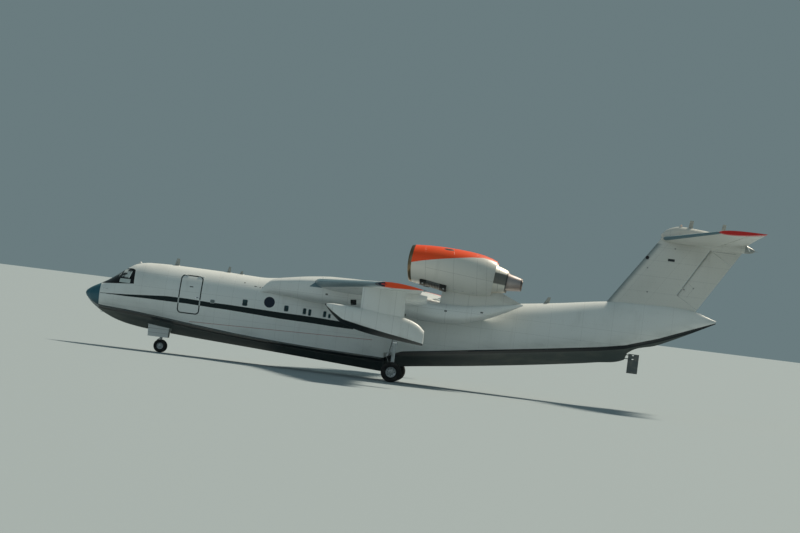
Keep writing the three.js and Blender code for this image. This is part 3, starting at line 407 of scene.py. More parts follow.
class Field:
    """A number that varies over the surface. In arithmetic it stands on the left."""

    def __init__(self, tree, out):
        self.tree, self.out = tree, out

    __add__, __sub__ = arithmetic("ADD"), arithmetic("SUBTRACT")
    __mul__, __truediv__ = arithmetic("MULTIPLY"), arithmetic("DIVIDE")
    __lt__, __gt__ = arithmetic("LESS_THAN"), arithmetic("GREATER_THAN")
    max, min = arithmetic("MAXIMUM"), arithmetic("MINIMUM")
    __abs__, fraction, root = arithmetic("ABSOLUTE"), arithmetic("FRACT"), arithmetic("SQRT")

    def rise(self, start, end):
        """From 0 at start to 1 at end, smoothly."""
        node = self.tree.nodes.new("ShaderNodeMapRange")
        node.interpolation_type = "SMOOTHSTEP"
        plug(self.tree, self, node.inputs["Value"])
        node.inputs["From Min"].default_value, node.inputs["From Max"].default_value = start, end
        return Field(self.tree, node.outputs[0])


def plug(tree, value, socket):
    if isinstance(value, Field):
        tree.links.new(value.out, socket)
    else:
        socket.default_value = (*value, 1) if isinstance(value, tuple) else value


WHITE = (0.78, 0.80, 0.785)
WARM_WHITE = (0.66, 0.66, 0.62)
BULLET_WHITE = (0.62, 0.62, 0.58)
GRIME = (0.40, 0.40, 0.37)
STRIPE_GREEN = (0.003, 0.013, 0.015)
BOTTOM_DARK = (0.070, 0.086, 0.082)
ORANGE = (0.95, 0.085, 0.015)
TEAL = (0.012, 0.10, 0.145)
# A blue-grey for bare-metal leading edges, whose blue is a painted sky reflection, and a lighter grey mottled
# over it as a painted sheen.
SKY_TINTED_METAL, METAL_SHINE = (0.095, 0.185, 0.225), (0.22, 0.27, 0.30)
SCORCHED = (0.05, 0.05, 0.05)
LINE_WIDTH, LINE_DEPTH = 0.011, 0.0015
RIVET = 0.012
LINE_DARK = (0.20, 0.21, 0.21)
# How noise is drawn out: into smears along the hull, or into streaks that run down.
SHORT_SMEAR, SMEAR, LONG_SMEAR, STREAK = (0.5, 1, 1), (0.4, 1, 1), (0.3, 1, 1), (2.2, 1.5, 0.12)
# How a float curve's unit square lies over stations and levels.
CURVE = dict(length=32.0, low=-3.0, rise=11.0)


class Paint:
    """A Principled material with helpers for fields over the frame's own coordinates."""

    def __init__(self, name, color, rough=0.4, metal=0.0, coat=0.0, specular=0.5):
        self.material = bpy.data.materials.new(name)
        self.material.use_nodes = True
        self.tree = self.material.node_tree
        self.shader = self.tree.nodes["Principled BSDF"]
        self.color, self.rough = color, rough
        self.rough_field = self.bump_height = None
        self.set(self.shader, {"Roughness": rough, "Metallic": metal, "Coat Weight": coat})
        self.set(self.shader, {"Specular IOR Level": specular})
        self.position = self.tree.nodes.new("ShaderNodeTexCoord").outputs["Object"]
        split = self.tree.nodes.new("ShaderNodeSeparateXYZ")
        self.tree.links.new(self.position, split.inputs[0])
        x, y, z = (Field(self.tree, split.outputs[k]) for k in range(3))
        self.s, self.y, self.z, self.out = x + HALF_LENGTH, y, z - NOSE_HEIGHT, abs(y)

    def set(self, node, values):
        for name, value in values.items():
            node.inputs[name].default_value = value

    def noise(self, scale, detail=3, stretch=(1, 1, 1), roughness=0.55):
        mapping = self.tree.nodes.new("ShaderNodeMapping")
        self.set(mapping, {"Scale": stretch})
        self.tree.links.new(self.position, mapping.inputs["Vector"])
        node = self.tree.nodes.new("ShaderNodeTexNoise")
        self.set(node, {"Scale": scale, "Detail": detail, "Roughness": roughness})
        self.tree.links.new(mapping.outputs[0], node.inputs["Vector"])
        return Field(self.tree, node.outputs[0])

    def curve(self, field, points):
        """A piecewise line through (station, level) points."""
        node = self.tree.nodes.new("ShaderNodeFloatCurve")
        curve = node.mapping.curves[0]
        for i, (station, level) in enumerate(points):
            spot = (station / CURVE["length"], (level - CURVE["low"]) / CURVE["rise"])
            point = curve.points[i] if i < 2 else curve.points.new(*spot)
            point.location = spot
        for point in curve.points:
            point.handle_type = "VECTOR"
        node.mapping.update()
        plug(self.tree, field / CURVE["length"], node.inputs["Value"])
        return Field(self.tree, node.outputs[0]) * CURVE["rise"] + CURVE["low"]

    def blend(self, mask, color):
        node = self.tree.nodes.new("ShaderNodeMix")
        node.data_type = "RGBA"
        for socket, source in zip((node.inputs[k] for k in (0, 6, 7)), (mask, self.color, color)):
            plug(self.tree, source, socket)
        self.color = Field(self.tree, node.outputs[2])

    def mottle(self, color, share, scale, detail, start, end, stretch=(1, 1, 1), within=None):
        """Blends a colour in by noise, inside a mask where one is given."""
        cloud = self.noise(scale, detail, stretch).rise(start, end) * share
        self.blend(cloud if within is None else cloud * within, color)

    def gloss(self, scale, detail, size):
        field = (self.noise(scale, detail) - 0.5) * size
        self.rough_field = field if self.rough_field is None else self.rough_field + field

    def raise_by(self, field):
        self.bump_height = field if self.bump_height is None else self.bump_height + field

    def grain(self, scale, detail, height):
        self.raise_by((self.noise(scale, detail) - 0.5) * height)

    def weather(self, amount=1.0):
        """Faint stains, streaks that run down, and a soft mottle in the gloss."""
        self.mottle(GRIME, 0.22 * amount, 0.45, 4, 0.48, 0.80)
        streak = self.noise(1.0, 4, STREAK, 0.6)
        self.blend(streak.rise(0.55, 0.78) * (0.20 * amount), GRIME)
        self.mottle(GRIME, 0.10 * amount, 3.5, 5, 0.62, 0.8)
        self.gloss(0.45, 4, 0.16)
        self.grain(3.5, 5, 0.0006)

    def seams(self, mask, strength=0.55):
        self.blend(mask * strength, LINE_DARK)
        self.raise_by(mask * -LINE_DEPTH)

    # Bare metal on a strip, tinted blue as a painted sky reflection and mottled lighter as a painted sheen.
    def sky_tinted_metal(self, mask):
        self.blend(mask, SKY_TINTED_METAL)
        self.mottle(METAL_SHINE, 0.4, 5, 4, 0.4, 0.7, within=mask)

    def done(self):
        plug(self.tree, self.color, self.shader.inputs["Base Color"])
        if self.rough_field is not None:
            plug(self.tree, self.rough_field + self.rough, self.shader.inputs["Roughness"])
        if self.bump_height is not None:
            node = self.tree.nodes.new("ShaderNodeBump")
            self.set(node, {"Strength": 1.0, "Distance": 1.0})
            plug(self.tree, self.bump_height, node.inputs["Height"])
            self.tree.links.new(node.outputs[0], self.shader.inputs["Normal"])
        return self.material


def lines_at(field, places, width=LINE_WIDTH):
    """1 on thin lines where a field has one of some values."""
    mask, *others = [abs(field - place) < width / 2 for place in places]
    for line in others:
        mask = mask.max(line)
    return mask


def round_distance(a, b):
    return (a * a + b * b).root()


def rivets(along, pitch, up, gap):
    """Rows of small dark dots."""
    across, rise = (((field / step).fraction() - 0.5) * step for field, step in ((along, pitch), (up, gap)))
    return round_distance(across, rise) < RIVET


def box_at(paint, station, level, half_long, half_high):
    return (abs(paint.s - station) < half_long) * (abs(paint.z - level) < half_high)


def rounded_box_distance(s, z, low, high, corner):
    ds, dz = (
        abs(field - (near + far) / 2) - ((far - near) / 2 - corner)
        for field, near, far in zip((s, z), low, high)
    )
    return round_distance(ds.max(0.0), dz.max(0.0)) + ds.max(dz).min(0.0) - corner


STRIPE_TOP = [
    (0.75, 0.07), (1.1, 0.085), (2, 0.13), (3, 0.21), (4, 0.29), (5, 0.29),
    (6, 0.25), (7, 0.245), (9.5, 0.185), (11, 0.165), (12, 0.125), (13.6, 0.05),
]
STRIPE_FOOT = [
    (0.75, 0.05), (1.1, 0.06), (2, 0.045), (3, 0.06), (4, 0.055), (5, 0.055),
    (6, 0.02), (7, 0.0), (9.5, -0.11), (11, -0.135), (12, -0.17), (13.6, -0.19),
]
CHINE_LINE = [(row[0], row[3]) for row in FORE_SECTIONS[3:] + AFT_SECTIONS[1:]]
FLOAT_CHINE = [(row[0], row[2]) for row in FLOAT_SECTIONS]
MASK_TOP = [(0.70, 0.53), (1.11, 0.83), (1.45, 0.97), (1.66, 1.20), (1.89, 1.37), (2.18, 1.40), (2.36, 1.32)]
ORANGE_FOOT = [
    (15.2, 3.23), (15.92, 3.42), (16.42, 3.53), (17.11, 3.66), (18.15, 3.83), (18.67, 3.87), (19.3, 3.74),
]
# Where panel lines run: stations, levels, offsets, shares of a chord or distances from an edge.
SEAMS = dict(
    hull_frames=[1.45, 2.75, 3.9, 6.35, 7.1, 8.2, 9.3, 10.2, 12.2, 13.5, 15.9, 17.3, 18.9, 20.5, 22.1]
    + [23.6, 25.0, 26.4, 27.8],
    hull_levels=[1.25, 0.62, -0.42], radome_offsets=[-0.28, 0.28, 0.0],
    wing_chords=[0.16, 0.40, 0.64], wing_offsets=[3.9, 5.2, 6.6, 8.1, 9.6, 11.0, 12.3, 13.6, 14.9],
    fin_levels=[3.3, 4.05, 4.8, 5.45], fin_edges=[0.5, 1.7],
    tail_offsets=[1.2, 2.1, 3.0, 3.9], tail_edges=[0.4, 1.6],
    cowl=[0.62, 1.95, 3.05, 3.5], fairing=[9.3, 10.2, 11.4, 12.6, 13.9, 15.9, 17.2, 18.4],
    float=[12.62, 13.2, 13.9, 14.6, 15.3, 16.0], pylon=[17.5, 18.2, 19.0, 19.8],
    bullet=[27.2, 28.4, 29.7, 30.6], nozzle=[18.98, 19.45],
    gear_door=[-1.5, -1.3, -1.1, 0.2, 0.45, 0.7, 0.95],
    lining=[-0.1, 0.3, 0.7, 1.1],
)
FIN_DOTS = ((28.60, 3.71), (28.16, 3.60), (27.52, 5.46), (26.45, 3.29), (26.33, 4.42))


def draw_hull(paint, outline=0.013):
    s, y, z = paint.s, paint.y, paint.z
    paint.weather()
    paint.seams(lines_at(s, SEAMS["hull_frames"]).max(lines_at(z, SEAMS["hull_levels"])), 0.25)
    paint.seams(rivets(s, 0.16, z, 0.42), 0.22)
    over_chine = z - paint.curve(s, CHINE_LINE)
    below = over_chine < 0.03
    # A darker mottle that grows from 0.75 over the chine down to it: painted shade on the hull's lower side.
    paint.mottle((0.30, 0.33, 0.32), 0.35, 1.2, 4, 0.40, 0.75, (0.5, 1, 1.6), over_chine.rise(0.75, 0.0))
    paint.blend(below, BOTTOM_DARK)
    paint.mottle((0.13, 0.14, 0.12), 0.6, 2.0, 5, 0.45, 0.75, SMEAR, below)
    # Near black in a band just under the chine: painted shadow under the chine flare.
    paint.blend(below * over_chine.rise(-0.17, -0.13), (0.006, 0.012, 0.016))
    stripe = (z < paint.curve(s, STRIPE_TOP)) * (z > paint.curve(s, STRIPE_FOOT)) * (s > 0.75) * (s < 12.95)
    paint.blend(stripe, STRIPE_GREEN)
    red_line = (abs(z - ((s - 5.0) * 0.0245 - 0.775)) < 0.011) * (s > 5.2) * (s < 13.9)
    paint.blend(red_line * 0.75, (0.36, 0.06, 0.05))
    cockpit_mask = (z > (s - 0.70) * 0.088 + 0.53) * (z < paint.curve(s, MASK_TOP))
    cockpit_mask = cockpit_mask * (s < (z - 1.0) * -0.06 + 2.345) * (s > 0.721)
    paint.blend(cockpit_mask, (0.003, 0.004, 0.006))
    low, high = zip(DOOR["stations"], DOOR["levels"])
    edge = abs(rounded_box_distance(s, z, low, high, DOOR["corner"]) - outline) < 0.014
    door_edge = edge * (y < -0.5)
    paint.blend(door_edge, STRIPE_GREEN)
    paint.blend(door_edge * (abs(z - 0.17) < 0.135), (0.62, 0.66, 0.65))
    disc = round_distance(s - 8.87, z - 0.60) < 0.255
    paint.blend(disc * (paint.out > 1.1), (0.014, 0.022, 0.040))


def draw_door(paint):
    draw_hull(paint, -0.013)


def draw_radome(paint):
    paint.mottle((0.02, 0.13, 0.165), 0.5, 1.5, 5, 0.4, 0.8)
    paint.blend(paint.z.rise(-0.15, -0.55), (0.01, 0.045, 0.06))
    strips = lines_at(paint.y, SEAMS["radome_offsets"], 0.016) * (paint.s > 0.16)
    paint.blend(strips * 0.5, (0.05, 0.17, 0.2))
    paint.mottle((0.3, 0.34, 0.34), 0.6, 14, 3, 0.68, 0.75, within=paint.s < 0.35)
    paint.grain(9, 3, 0.001)


def behind_wing_edge(paint):
    return paint.s - (paint.out * WING["sweep"] + WING["lead"])


def draw_wing(paint):
    paint.weather(1.1)
    lead, out = behind_wing_edge(paint), paint.out
    share = lead / (out * ((WING["tip"] - WING["root"]) / WING["semi"]) + WING["root"])
    paint.seams(lines_at(share, SEAMS["wing_chords"], 0.006))
    paint.seams(lines_at(out, SEAMS["wing_offsets"]))
    paint.seams(rivets(lead, 0.25, out, 0.18), 0.3)
    # The leading edge: a bare-metal strip with a painted sky reflection and sheen.
    paint.sky_tinted_metal(lead < 0.26)
    walkway = (share > 0.18) * (share < 0.62) * (out > 3.2) * (out < 4.4)
    paint.blend(walkway * paint.z.rise(1.7, 1.8) * 0.35, (0.30, 0.31, 0.31))


def draw_tail(paint):
    paint.weather(1.1)
    s, z, out = paint.s, paint.z, paint.out
    lead = s - ((z - FIN["foot"]) * FIN["slope"] + FIN["lead"])
    tail_lead = s - (out * TAILPLANE["sweep"] + TAILPLANE["lead"])
    upright, level = out < FIN["half"], z > 5.7
    fin_lines = lines_at(z, SEAMS["fin_levels"]).max(lines_at(lead, SEAMS["fin_edges"]))
    paint.seams(fin_lines * upright, 0.3)
    tail_lines = lines_at(out, SEAMS["tail_offsets"]).max(lines_at(tail_lead, SEAMS["tail_edges"]))
    paint.seams(tail_lines * level, 0.35)
    paint.seams(rivets(s, 0.16, z, 0.26) * upright, 0.3)
    # The fin's leading edge, darker and bluer towards the edge: a bare-metal strip with painted shade on its
    # forward face.
    paint.blend(lead.rise(0.34, 0.02) * (z < 5.62) * upright * 0.75, (0.10, 0.16, 0.18))
    top_seam = (abs(z - 5.55) < 0.012) * (s > 29.29) * (s < 30.4)
    jog = lines_at(s - (z - 3.92) * -1.18, [28.33]) * (abs(z - 3.82) < 0.11)
    foot = lines_at(s - (z - 3.71) * 0.604, [28.60]) * (z > 3.23) * (z < 3.71)
    paint.seams(top_seam.max(jog).max(foot) * upright, 0.7)
    # The tailplane's leading edge: bare metal, tinted blue as a painted sky reflection.
    paint.blend((tail_lead < 0.13) * level * (out > 0.25), SKY_TINTED_METAL)
    red_tip = (out > (s - 29.3) * -0.25 + 4.90) * level
    paint.blend(red_tip, (0.62, 0.022, 0.02))
    for station, height in FIN_DOTS:
        paint.blend(box_at(paint, station, height, 0.035, 0.03) * upright * 0.7, (0.10, 0.11, 0.12))
    lamp = round_distance(s - 26.27, z - 4.90) < 0.085
    paint.blend(lamp * upright, (0.01, 0.01, 0.012))
    dark_panel = box_at(paint, 27.40, 4.90, 0.16, 0.06)
    paint.blend(dark_panel * upright, (0.02, 0.025, 0.03))


def draw_tip(paint):
    paint.weather(0.5)
    # A dark navy band along the tip's leading edge: painted shade and sky reflection on its forward face.
    paint.blend(behind_wing_edge(paint) < 0.30, (0.012, 0.018, 0.035))


def over_axis(paint):
    """How high a point is over the drooping engine axis."""
    return paint.z - ((paint.s - ENGINE["station"]) * -math.tan(ENGINE["droop"]) + ENGINE["level"])


def draw_nacelle(paint):
    paint.weather(1.2)
    station, height = paint.s - ENGINE["station"], over_axis(paint)
    paint.seams(lines_at(station + height * 0.09, SEAMS["cowl"]))
    paint.seams(lines_at(height, [-0.16], 0.012) * (station > 0.6))
    outside = round_distance(paint.out - ENGINE["offset"], height) > station * 0.026 + 0.70
    glow = (paint.z > paint.curve(paint.s, ORANGE_FOOT)) * outside
    paint.blend(glow, ORANGE)
    paint.mottle((0.86, 0.12, 0.03), 0.4, 0.9, 4, 0.45, 0.7, within=glow)
    paint.mottle((0.30, 0.27, 0.23), 0.35, 1.4, 4, 0.35, 0.75, SMEAR, station.rise(2.6, 3.9))


def draw_fairing(paint):
    s, z, out = paint.s, paint.z, paint.out
    paint.weather(1.1)
    paint.seams(lines_at(s, SEAMS["fairing"]), 0.4)
    paint.seams(lines_at(z, [1.25]) * (out > 1.5), 0.4)
    paint.seams(rivets(s, 0.16, z, 0.3), 0.3)
    bay = (abs(s - 15.0) < 0.372) * (abs(out - 2.125) < 0.527) * (z < 1.302) * (z > 0.76)
    paint.blend(bay, (0.22, 0.25, 0.23))
    # The slat's end on the fairing by the wing root: bare metal with painted shade and sky reflection on its
    # forward face.
    slat = (behind_wing_edge(paint) < 0.45) * (s > (z - 1.56) * 1.18 + 10.71) * (z > 1.57)
    paint.sky_tinted_metal(slat)


def draw_float(paint):
    paint.weather(1.2)
    paint.seams(lines_at(paint.s, SEAMS["float"]), 0.4)
    over_chine = paint.z - paint.curve(paint.s, FLOAT_CHINE)
    # Darker towards the chine: painted shade on the float's lower side.
    paint.mottle((0.35, 0.37, 0.35), 0.5, 2, 4, 0.4, 0.75, SHORT_SMEAR, over_chine.rise(0.16, 0.02))
    bow = paint.s.rise(12.36, 12.30)
    paint.blend(bow, (0.06, 0.06, 0.06))
    # Near black under the chine: painted shade on the float's bottom.
    paint.blend(over_chine < 0.012, (0.006, 0.011, 0.013))


def draw_pylon(paint):
    paint.weather(1.3)
    paint.seams(lines_at(paint.s, SEAMS["pylon"]), 0.5)
    paint.mottle((0.26, 0.24, 0.21), 0.45, 2, 4, 0.35, 0.7, SMEAR, paint.s.rise(18.6, 20.6))


def draw_bullet(paint):
    paint.weather(1.2)
    paint.seams(lines_at(paint.s, SEAMS["bullet"]), 0.5)
    paint.blend((paint.s > 30.78) * 0.7, (0.17, 0.20, 0.20))
    # A pale slanted arc over the upper half of the tail end: a painted highlight.
    rim = (abs(paint.s - 30.99 - (paint.z - 5.81) * -0.6) < 0.035) * (paint.z > 5.77)
    paint.blend(rim, (0.85, 0.85, 0.82))


def draw_gear_door(paint):
    paint.weather(1.5)
    inner = (paint.out < 0.31) + (paint.out > 2.0) * (paint.out < 2.625)
    paint.blend(inner.min(1.0) * 0.9, (0.30, 0.34, 0.31))
    paint.blend(lines_at(paint.z, SEAMS["gear_door"], 0.02) * 0.5, LINE_DARK)


def draw_fan_nozzle(paint):
    height = over_axis(paint)
    paint.mottle((0.50, 0.45, 0.38), 0.35, 1.6, 5, 0.35, 0.7, LONG_SMEAR)
    # A dark band round the nozzle's middle height: a painted reflection.
    paint.blend(abs(height - 0.05).rise(0.29, 0.22) * 0.9, (0.085, 0.09, 0.085))
    paint.blend(lines_at(paint.s, SEAMS["nozzle"], 0.014) * 0.7, (0.12, 0.11, 0.10))
    paint.blend((paint.s + height * -0.09 > 19.80) * 0.85, SCORCHED)
    paint.gloss(5, 4, 0.25)


def draw_core_nozzle(paint):
    paint.blend(paint.s.rise(19.9, 20.5) * 0.5, (0.30, 0.27, 0.28))
    paint.blend((paint.s > 20.49) * 0.85, SCORCHED)
    paint.mottle((0.30, 0.20, 0.15), 0.5, 2.5, 5, 0.4, 0.7, LONG_SMEAR)
    paint.gloss(6, 4, 0.3)


def draw_glass(paint):
    """Blurred reflections of the sky, a pale sill and a pale post behind dark panes."""
    s, z = paint.s, paint.z
    middle = abs(s - 1.84).rise(0.34, 0.22) * abs(z - 1.13).rise(0.24, 0.14)
    paint.mottle((0.66, 0.70, 0.68), 0.9, 3.6, 3, 0.42, 0.54, within=middle)
    paint.blend(box_at(paint, 1.90, 0.77, 0.27, 0.095) * 0.9, (0.60, 0.66, 0.64))
    post = (abs((z - 0.92) * -0.311 + s - 2.07) < 0.022) * (z > 0.90) * (z < 1.38)
    paint.blend(post * 0.95, (0.80, 0.84, 0.82))
    # The glass above the mask line takes the blue-grey of white paint in shade: painted shade.
    paint.blend((z > paint.curve(s, MASK_TOP) + 0.01) * 0.9, (0.30, 0.38, 0.39))
    paint.gloss(4, 3, 0.06)


def draw_window(paint):
    paint.mottle((0.03, 0.075, 0.08), 0.6, 6, 3, 0.45, 0.7)
    first_pane = paint.s < 6.6
    paint.blend(first_pane * 0.75, (0.22, 0.26, 0.26))


def draw_lining(paint):
    paint.blend(lines_at(paint.z, SEAMS["lining"], 0.03) * 0.5, (0.14, 0.16, 0.15))
    paint.mottle((0.22, 0.24, 0.22), 0.5, 3, 4, 0.4, 0.8)


def draw_lens(paint):
    paint.blend(lines_at(paint.noise(3, 1), [0.5], 0.02) * 0.3, (0.8, 0.8, 0.8))


LENS_LOOK = dict(rough=0.08, coat=0.8)
# Columns: name, colour, how its shader is set, what is drawn on it.
DRAWN_PAINTS = (
    ("hull_white", WHITE, dict(rough=0.38, specular=0.25), draw_hull),
    ("door_white", WHITE, dict(rough=0.38, specular=0.25), draw_door),
    ("radome_teal", TEAL, dict(rough=0.36, coat=0.15), draw_radome),
    ("wing_white", WHITE, dict(rough=0.36, coat=0.2), draw_wing),
    ("tail_white", WARM_WHITE, dict(rough=0.37, specular=0.35), draw_tail),
    ("tip_orange", ORANGE, dict(rough=0.38, specular=0.35), draw_tip),
    ("nacelle_paint", WARM_WHITE, dict(rough=0.36, specular=0.35), draw_nacelle),
    ("fairing_white", WHITE, dict(rough=0.35, coat=0.2), draw_fairing),
    ("float_white", WHITE, dict(rough=0.40, specular=0.25), draw_float),
    ("pylon_white", WARM_WHITE, dict(rough=0.37, specular=0.35), draw_pylon),
    ("bullet_white", BULLET_WHITE, dict(rough=0.37, coat=0.2), draw_bullet),
    ("gear_door_white", WHITE, dict(rough=0.36, coat=0.2), draw_gear_door),
    # The fan nozzle's pale cream base, raised a little as painted light for its shaded lower half.
    ("fan_nozzle_metal", (0.80, 0.77, 0.70), dict(rough=0.42, metal=0.25), draw_fan_nozzle),
    ("core_nozzle_metal", (0.42, 0.37, 0.36), dict(rough=0.42, metal=0.5), draw_core_nozzle),
    ("cockpit_glass", (0.003, 0.005, 0.008), dict(rough=0.13, specular=0.3), draw_glass),
    ("window_glass", (0.008, 0.030, 0.036), dict(rough=0.10), draw_window),
    ("cabin_lining", (0.30, 0.33, 0.31), dict(rough=0.6), draw_lining),
    ("red_lens", (0.5, 0.01, 0.01), LENS_LOOK, draw_lens),
    ("green_lens", (0.01, 0.25, 0.06), LENS_LOOK, draw_lens),
    ("clear_lens", (0.75, 0.75, 0.72), LENS_LOOK, draw_lens),
    ("beacon_lens", (0.85, 0.62, 0.50), LENS_LOOK, draw_lens),
)
# Columns: name, colour, how its shader is set, then a mottle by colour, share, scale, detail, start and end,
# a grain and a gloss, each by scale, detail and size.
PLAIN_PAINTS = (
    ("nacelle_dark", (0.13, 0.14, 0.14), dict(rough=0.45, metal=0.3),
     ((0.07, 0.07, 0.07), 0.5, 5, 4, 0.4, 0.75), (30, 2, 0.001), None),
    ("aerial_grey", (0.34, 0.36, 0.34), dict(rough=0.5),
     ((0.22, 0.24, 0.23), 0.5, 5, 4, 0.4, 0.75), (30, 2, 0.0008), None),
    ("lip_metal", (0.20, 0.145, 0.085), dict(rough=0.34, metal=0.85),
     ((0.10, 0.085, 0.06), 0.6, 4, 4, 0.35, 0.7), None, (7, 4, 0.3)),
    ("engine_dark", (0.035, 0.036, 0.038), dict(rough=0.6, metal=0.5),
     ((0.075, 0.07, 0.065), 0.6, 3, 4, 0.4, 0.7), (20, 3, 0.002), None),
    ("fan_metal", (0.30, 0.32, 0.34), dict(rough=0.33, metal=0.9),
     ((0.20, 0.21, 0.22), 0.4, 5, 4, 0.4, 0.7), None, (9, 4, 0.25)),
    ("black_rubber", (0.012, 0.013, 0.013), dict(rough=0.6),
     ((0.035, 0.035, 0.033), 0.5, 9, 4, 0.5, 0.75), (40, 2, 0.001), None),
    ("tyre_rubber", (0.022, 0.022, 0.022), dict(rough=0.82, specular=0.3),
     ((0.060, 0.057, 0.052), 0.7, 6, 5, 0.4, 0.75), (60, 2, 0.0015), None),
    ("wheel_alloy", (0.52, 0.54, 0.55), dict(rough=0.42, metal=0.6),
     ((0.24, 0.23, 0.21), 0.6, 8, 5, 0.45, 0.75), (50, 2, 0.0008), None),
    ("leg_grey", (0.56, 0.59, 0.60), dict(rough=0.35, coat=0.2),
     ((0.25, 0.23, 0.20), 0.6, 5, 5, 0.5, 0.8), (30, 2, 0.0008), (8, 3, 0.2)),
    ("bright_steel", (0.72, 0.73, 0.74), dict(rough=0.18, metal=1.0),
     ((0.45, 0.44, 0.42), 0.3, 4, 4, 0.5, 0.7), None, (12, 3, 0.12)),
    ("water_rudder_paint", (0.10, 0.115, 0.115), dict(rough=0.45),
     ((0.22, 0.20, 0.17), 0.7, 4, 5, 0.45, 0.75), None, None),
)


def material_set():
    found = {}
    for name, color, look, draw in DRAWN_PAINTS:
        paint = Paint(name, color, **look)
        draw(paint)
        found[name] = paint.done()
    for name, color, look, mottle, grain, gloss in PLAIN_PAINTS:
        paint = Paint(name, color, **look)
        paint.mottle(*mottle)
        if grain:
            paint.grain(*grain)
        if gloss:
            paint.gloss(*gloss)
        found[name] = paint.done()
    return found


make_camera()
paints = material_set()


# The hull
def spray_rail(row):
    _, keel, beam, chine, *_ = row
    return beam * 0.6, mix(keel, chine, 0.72)


def hull_ring(row, inset=0.0):
    station, keel, beam, chine, width, widest, crown = row
    rail, rail_level = spray_rail(row)
    bottom, rise, side, roof = RING_STEPS.values()
    port = [(rail * t / bottom, mix(keel, rail_level, t / bottom)) for t in range(bottom)]
    port += [(mix(rail, beam, t / rise), mix(rail_level, chine, t / rise)) for t in range(rise)]
    port += [(mix(beam, width, 1 - (1 - t / side) ** 2), mix(chine, widest, t / side)) for t in range(side)]
    angles = [math.pi / 2 * i / roof for i in range(roof)]
    port += [(width * math.cos(a), mix(widest, crown, math.sin(a))) for a in angles]
    middle = (keel + crown) / 2
    in_y, in_z = 1 - inset / width, 1 - 2 * inset / (crown - keel)
    left, right = (
        [at(station, sign * y * in_y, mix(middle, z, in_z)) for y, z in port] for sign in (-1, 1)
    )
    return left + [at(station, 0, mix(middle, crown, in_z))] + right[:0:-1]


def skin_reach(station, level):
    """How far off the middle the hull's skin is at a station and level."""
    _, keel, beam, chine, width, widest, crown = hull_row(station)
    if level >= widest:
        return width * math.sqrt(max(0.0, 1 - ((level - widest) / (crown - widest)) ** 2))
    t = min(max((level - chine) / (widest - chine), 0), 1)
    return mix(beam, width, 1 - (1 - t) ** 2)


def fore_solid(name, inset=0.0):
    stations = spread(0.72, 3.0, 34) + spread(3.1, 14.5, 76)
    return loft(name, [hull_ring(fore_row(s), inset) for s in stations])


def door_space(name, grow, offsets):
    low, high = zip(DOOR["stations"], DOOR["levels"])
    outline = rounded_rectangle([v - grow for v in low], [v + grow for v in high], DOOR["corner"])
    return prism(name, outline, offsets)


def hinge_bar(middle, half, radius):
    ends = [(middle + side * half, -DOOR_HINGE["offset"], DOOR_HINGE["level"]) for side in (-1, 1)]
    return bar("knuckle", ends, radius, 20)


def mirror_span(low, high, sign):
    return (-high, -low) if sign < 0 else (low, high)


def glaze(hull, core, name, corners, sign):
    """Makes one cockpit pane as deep as the glass, and cuts its seat out of the hull."""
    centre = [sum(c[k] for c in corners) / 4 for k in (0, 1)]
    grown = [[mix(centre[k], c[k], 1.006) for k in (0, 1)] for c in corners]
    solids = (
        combine(fore_solid(name), prism("region", corners, mirror_span(0.045, 1.5, sign)), "INTERSECT"),
        prism("seat", grown, mirror_span(0.0447, 1.5, sign)),
    )
    pane, seat = (combine(solid, linked("inner", core.data.copy())) for solid in solids)
    combine(hull, seat)
    return pane


def hang_door(hull, door):
    for middle in DOOR_HINGE["knuckles"]:
        half, radius, clear = (DOOR_HINGE[k] for k in ("half", "radius", "clear"))
        for side in (-1, 1):
            outer = middle + side * (2 * half + MATE_GAP)
            combine(hull, hinge_bar(outer, half, radius), "UNION")
            combine(door, hinge_bar(outer, half + clear, radius + clear))
        combine(hull, hinge_bar(middle, half + MATE_GAP, radius + clear))
        combine(door, hinge_bar(middle, half, radius), "UNION")


def build_hull():
    radome = loft("radome_shell", [hull_ring(fore_row(s)) for s in spread(0.0, 0.7197, 22, 2.0)])
    finish_piece(radome, "radome_paint", "radome_teal", "radome")
    hull, core = fore_solid("forward_hull_shell"), fore_solid("core", GLASS_DEPTH)
    for side, sign in SIDES:
        for label, corners in (("windscreen", WINDSCREEN), ("side_window", SIDE_PANE)):
            pane = glaze(hull, core, f"{label}_pane_{side}", corners, sign)
            finish_piece(pane, "cockpit_glass", "cockpit_glass", f"{label}_{side}")
    bpy.data.objects.remove(core)
    door = combine(fore_solid("passenger_door_panel"), door_space("space", 0, (-1.6, -0.3)), "INTERSECT")
    combine(door, fore_solid("inner", DOOR["wall"]))
    combine(hull, door_space("space", DOOR["gap"], (-1.6, -DOOR["room"])))
    hang_door(hull, door)
    finish_piece(door, "white_paint", "door_white", "passenger_door", body="passenger_door")
    half = NOSE_BAY["half"]
    combine(hull, block("bay", NOSE_BAY["stations"], (-half, half), (-2, NOSE_BAY["top"])))
    finish_piece(hull, "white_paint", "hull_white", "forward_hull")
    line_rooms(hull)
    stations = spread(14.5003, 25.7, 76) + [25.77, 25.87] + spread(25.95, 29.84, 30)
    aft = loft("aft_hull_shell", [hull_ring(aft_row(s)) for s in stations])
    for level in (0.035, 0.215):
        lug = block("lug", (25.72, 26.12), (-0.04, 0.04), (level - 0.02, level + 0.02))
        combine(aft, lug, "UNION")
    finish_piece(aft, "white_paint", "hull_white", "aft_hull")


